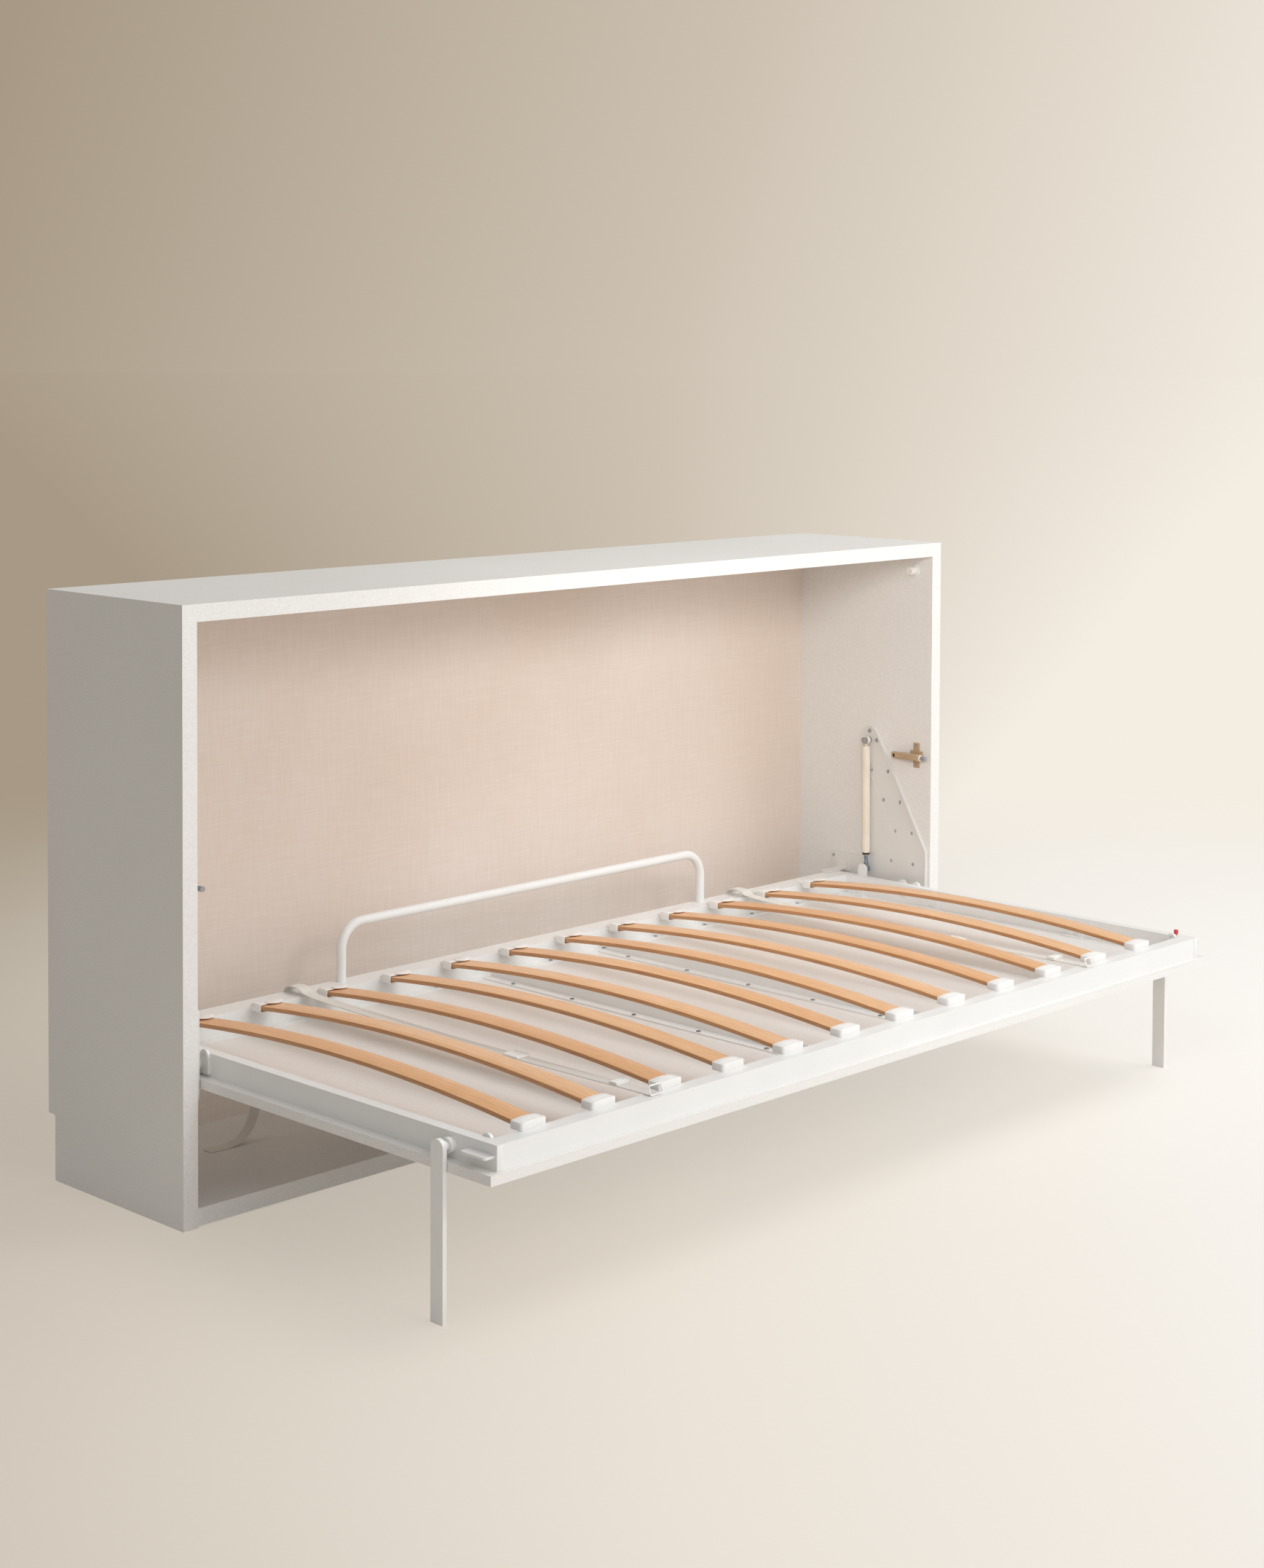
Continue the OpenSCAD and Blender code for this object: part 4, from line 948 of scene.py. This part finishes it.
def makeBuckle(plan, x, seat):
    rear = plan["y"] + plan["depth"] / 2
    buckle = addFitting("strapBuckle", plan, x, seat)
    cutAt(buckle, (x, plan["y"], 0), (0, 1, 0))
    insetFaces(buckle, lambda face: face.normal.z > square, plan["wall"], each=True)
    extrudeBy((0, 0, -plan["thickness"] * plan["hollow"]))
    choose(buckle, "VERT", lambda vert: placeOf(vert).y > rear - near and placeOf(vert).z > seat + near)
    bpy.ops.transform.translate(value=(0, 0, -plan["rearDrop"] / 1000))
    tidyMesh(buckle)
    softenEdges(buckle, plan["soft"])
    return buckle


def makeClip(plan, x, seat):
    inner = plan["width"] / 2 - plan["side"]
    clip = addFitting("strapClip", plan, x, seat)
    pitch = plan["depth"] / (plan["grooves"] + 0.5)
    groove = pitch * plan["open"]
    starts = [plan["y"] - plan["depth"] / 2 + pitch * (k + 0.5) for k in range(plan["grooves"])]
    for start in starts:
        cutAt(clip, (x, start, 0), (0, 1, 0))
        cutAt(clip, (x, start + groove, 0), (0, 1, 0))
    for cut in (-inner, inner):
        cutAt(clip, (x + cut, 0, 0), (1, 0, 0))
    pushFaces(clip, lambda face: face.normal.z > square and abs(middleOf(face).x - x) < inner and
              any(start < middleOf(face).y < start + groove for start in starts),
              (0, 0, -plan["thickness"] * plan["hollow"]))
    tidyMesh(clip)
    softenEdges(clip, plan["soft"])
    return clip


def makeStrapFittings(straps):
    made = []
    for x in straps["middles"]:
        made.append(makeRing(ringPlan, x))
        for build, plan in ((makeBuckle, bucklePlan), (makeClip, clipPlan)):
            seat = strapHeight(straps, plan["y"]) + straps["thickness"] / 2 + straps["fittingGap"]
            made.append(build(plan, x, seat))
    finishPiece(joinAll(made, "strapFittings"), "bed", "buckle_white", ["strap_hardware"])


makeStrapFittings(strapPlan)
print("straps and fittings made")


# Closing studs: a round foot and a thick pin with a screw sunk in it

studPlan = {"y": -352.7, "z": 986, "inner": 995, "length": 20, "radius": 9, "foot": 12, "footThickness": 3,
            "rim": 0.55,  # of the radius
            "recess": 4, "screwIn": 6, "screwSize": 0.75, "soft": 1.4}


def makeStuds(plan):
    x, y, z = plan["inner"], plan["y"], plan["z"]
    foot = addRound("studFoot", (x, y, z), (x - plan["footThickness"], y, z), plan["foot"], 40)
    insetFaces(foot, lambda face: face.normal.x < -square, plan["foot"] - plan["radius"])
    extrudeBy((plan["footThickness"] - plan["length"], 0, 0))
    insetFaces(foot, lambda face: face.normal.x < -square, plan["radius"] * plan["rim"])
    extrudeBy((plan["recess"], 0, 0))
    tidyMesh(foot)
    softenEdges(foot, plan["soft"], 3)
    twin = mirrorTo(foot, "studFootLeft")
    finishPiece(joinAll([foot, twin], "closingStuds"), "cabinet", "stud_white", ["bumper_studs"])
    for side, name in ((1, "studScrewRight"), (-1, "studScrewLeft")):
        spot = (side * (x - plan["length"] + plan["screwIn"]), y, z)
        head = placeHead(screwHead, spot, (0, -side * quarter, 0), name, plan["screwSize"])
        finishPiece(head, "cabinet", "plated_steel")


# Soft closers: a rounded bar with a cross bore on a cross-shaped plate, one on each side,
# with a white collar where the plunger enters

closerPlan = {"x": 981, "z": 570, "front": -383, "rear": -306, "wide": 13, "tall": 15, "corner": 4.5,
              "bore": -312.5, "boreRadius": 2.8, "boreDepth": 5, "barSoft": 0.7,
              "crossY": -362.5, "plate": 993, "wall": 995, "arm": (545, 601), "armHalf": 8.5,
              "wing": (563, 583), "wingOut": 9, "crossSoft": 0.5, "screws": (551, 595), "screwSize": 0.8,
              "saddleIn": 1, "saddleHalf": (9, 5), "saddleSoft": 0.8,
              "collar": (-1.5, 1), "collarRadius": 6.6, "collarSoft": 0.5}


def makeCloserBar(plan):
    x, z = plan["x"], plan["z"]
    wide, tall = plan["wide"] / 2, plan["tall"] / 2
    bar = addBlock("softCloserBar", (x - wide, plan["front"], z - tall), (x + wide, plan["rear"], z + tall))
    choose(bar, "EDGE", lambda edge: runsAlong(edge, 1))
    bpy.ops.mesh.bevel(offset=plan["corner"] / 1000, segments=4, affect="EDGES")
    start, end = ((at, plan["bore"], z) for at in (x - 2 * wide, x - wide + plan["boreDepth"]))
    bore = addRound("softCloserBore", start, end, plan["boreRadius"], 24)
    applyModifier(bar, "BOOLEAN", object=bore, operation="DIFFERENCE")
    bpy.data.objects.remove(bore)
    softenEdges(bar, plan["barSoft"])
    return bar


def makeCloserPlate(plan):  # a saddle under the bar and the cross that it stands on
    x, y, z = plan["x"], plan["crossY"], plan["z"]
    deep, tall = plan["saddleHalf"]
    saddle = addBlock("softCloserSaddle", (x + plan["saddleIn"], y - deep, z - tall),
                      (plan["plate"] + bite, y + deep, z + tall))
    softenEdges(saddle, plan["saddleSoft"])
    (low, high), (wingLow, wingHigh) = plan["arm"], plan["wing"]
    cross = addBlock("softCloserCross", (plan["plate"], y - plan["armHalf"], low),
                     (plan["wall"], y + plan["armHalf"], high))
    cutAt(cross, (x, y, wingLow), (0, 0, 1))
    cutAt(cross, (x, y, wingHigh), (0, 0, 1))
    for side in (-1, 1):
        pushFaces(cross, lambda face: face.normal.y * side > square and
                  wingLow < middleOf(face).z < wingHigh, (0, side * plan["wingOut"], 0))
    softenEdges(cross, plan["crossSoft"])
    return [saddle, cross]


def makeSoftClosers(plan):
    x, y, z = plan["x"], plan["crossY"], plan["z"]
    right = joinAll([makeCloserBar(plan)] + makeCloserPlate(plan), "softCloserRight")
    left = mirrorTo(right, "softCloserLeft")
    start, end = ((x, plan["front"] + part, z) for part in plan["collar"])
    collar = addRound("closerCollar", start, end, plan["collarRadius"], 32)
    softenEdges(collar, plan["collarSoft"])
    collars = joinAll([collar, mirrorTo(collar, "closerCollarLeft")], "closerCollars")
    for piece, node in ((right, "right_damper_body"), (left, "left_damper_body")):
        finishPiece(piece, "cabinet", "damper_bronze", [node])
    finishPiece(collars, "cabinet", "stud_white")
    heads = []
    for side in (-1, 1):
        turn = (0, -side * quarter, 0)
        for height in plan["screws"]:
            spot = (side * plan["plate"], y, height)
            heads.append(placeHead(screwHead, spot, turn, "closerScrew", plan["screwSize"]))
    finishPiece(joinAll(heads, "closerScrews"), "cabinet", "plated_steel")


# The dark wiper ring where the rod leaves each gas spring

wiperPlan = {"x": 980, "y": -230.9, "low": 333.6, "high": 339.6, "radius": 8.2, "soft": 0.8}


def makeWipers(plan):
    for side, name in ((-1, "left"), (1, "right")):
        start, end = ((side * plan["x"], plan["y"], z) for z in (plan["low"], plan["high"]))
        wiper = addRound(name + "Wiper", start, end, plan["radius"], 32)
        softenEdges(wiper, plan["soft"])
        finishPiece(wiper, name + "_cylinder", "bush_dark", material=rubber)


# Welded caps on the front rail's corners

cornerPlan = {"inner": 953, "outer": 965, "front": -1105, "proud": 0.8, "low": 249.6, "high": 288.6,
              "soft": 0.4}


def makeCornerCaps(plan):
    caps = []
    for side in (-1, 1):
        inner, outer = sorted((side * plan["inner"], side * plan["outer"]))
        cap = addBlock("cornerCap", (inner, plan["front"] - plan["proud"], plan["low"]),
                       (outer, plan["front"] + bite, plan["high"]))
        softenEdges(cap, plan["soft"])
        caps.append(cap)
    finishPiece(joinAll(caps, "cornerCaps"), "bed", "frame_white")


# The red cap of the release button, with its stem

capPlan = {"x": 955, "y": -1062, "low": 291.5, "height": 8, "radius": 4.5,
           "rim": 0.3,  # of the radius
           "dome": 0.4, "soft": 0.7, "stemLow": 279, "stemRadius": 2.5}


def makeCap(plan):
    x, y, low = plan["x"], plan["y"], plan["low"]
    cap = addRound("releaseCap", (x, y, low), (x, y, low + plan["height"]), plan["radius"], 40)
    insetFaces(cap, lambda face: face.normal.z > square, plan["radius"] * plan["rim"])
    bpy.ops.transform.translate(value=(0, 0, plan["dome"] / 1000))
    softenEdges(cap, plan["soft"], 3)
    stem = addRound("capStem", (x, y, plan["stemLow"]), (x, y, low + bite), plan["stemRadius"], 24)
    finishPiece(joinAll([cap, stem], "releaseCap"), "release_button", "cap_red", ["release_button"])


makeStuds(studPlan)
makeSoftClosers(closerPlan)
makeWipers(wiperPlan)
makeCornerCaps(cornerPlan)
makeCap(capPlan)
print("small parts made")

clearSelection()
bpy.data.objects.remove(screwHead)
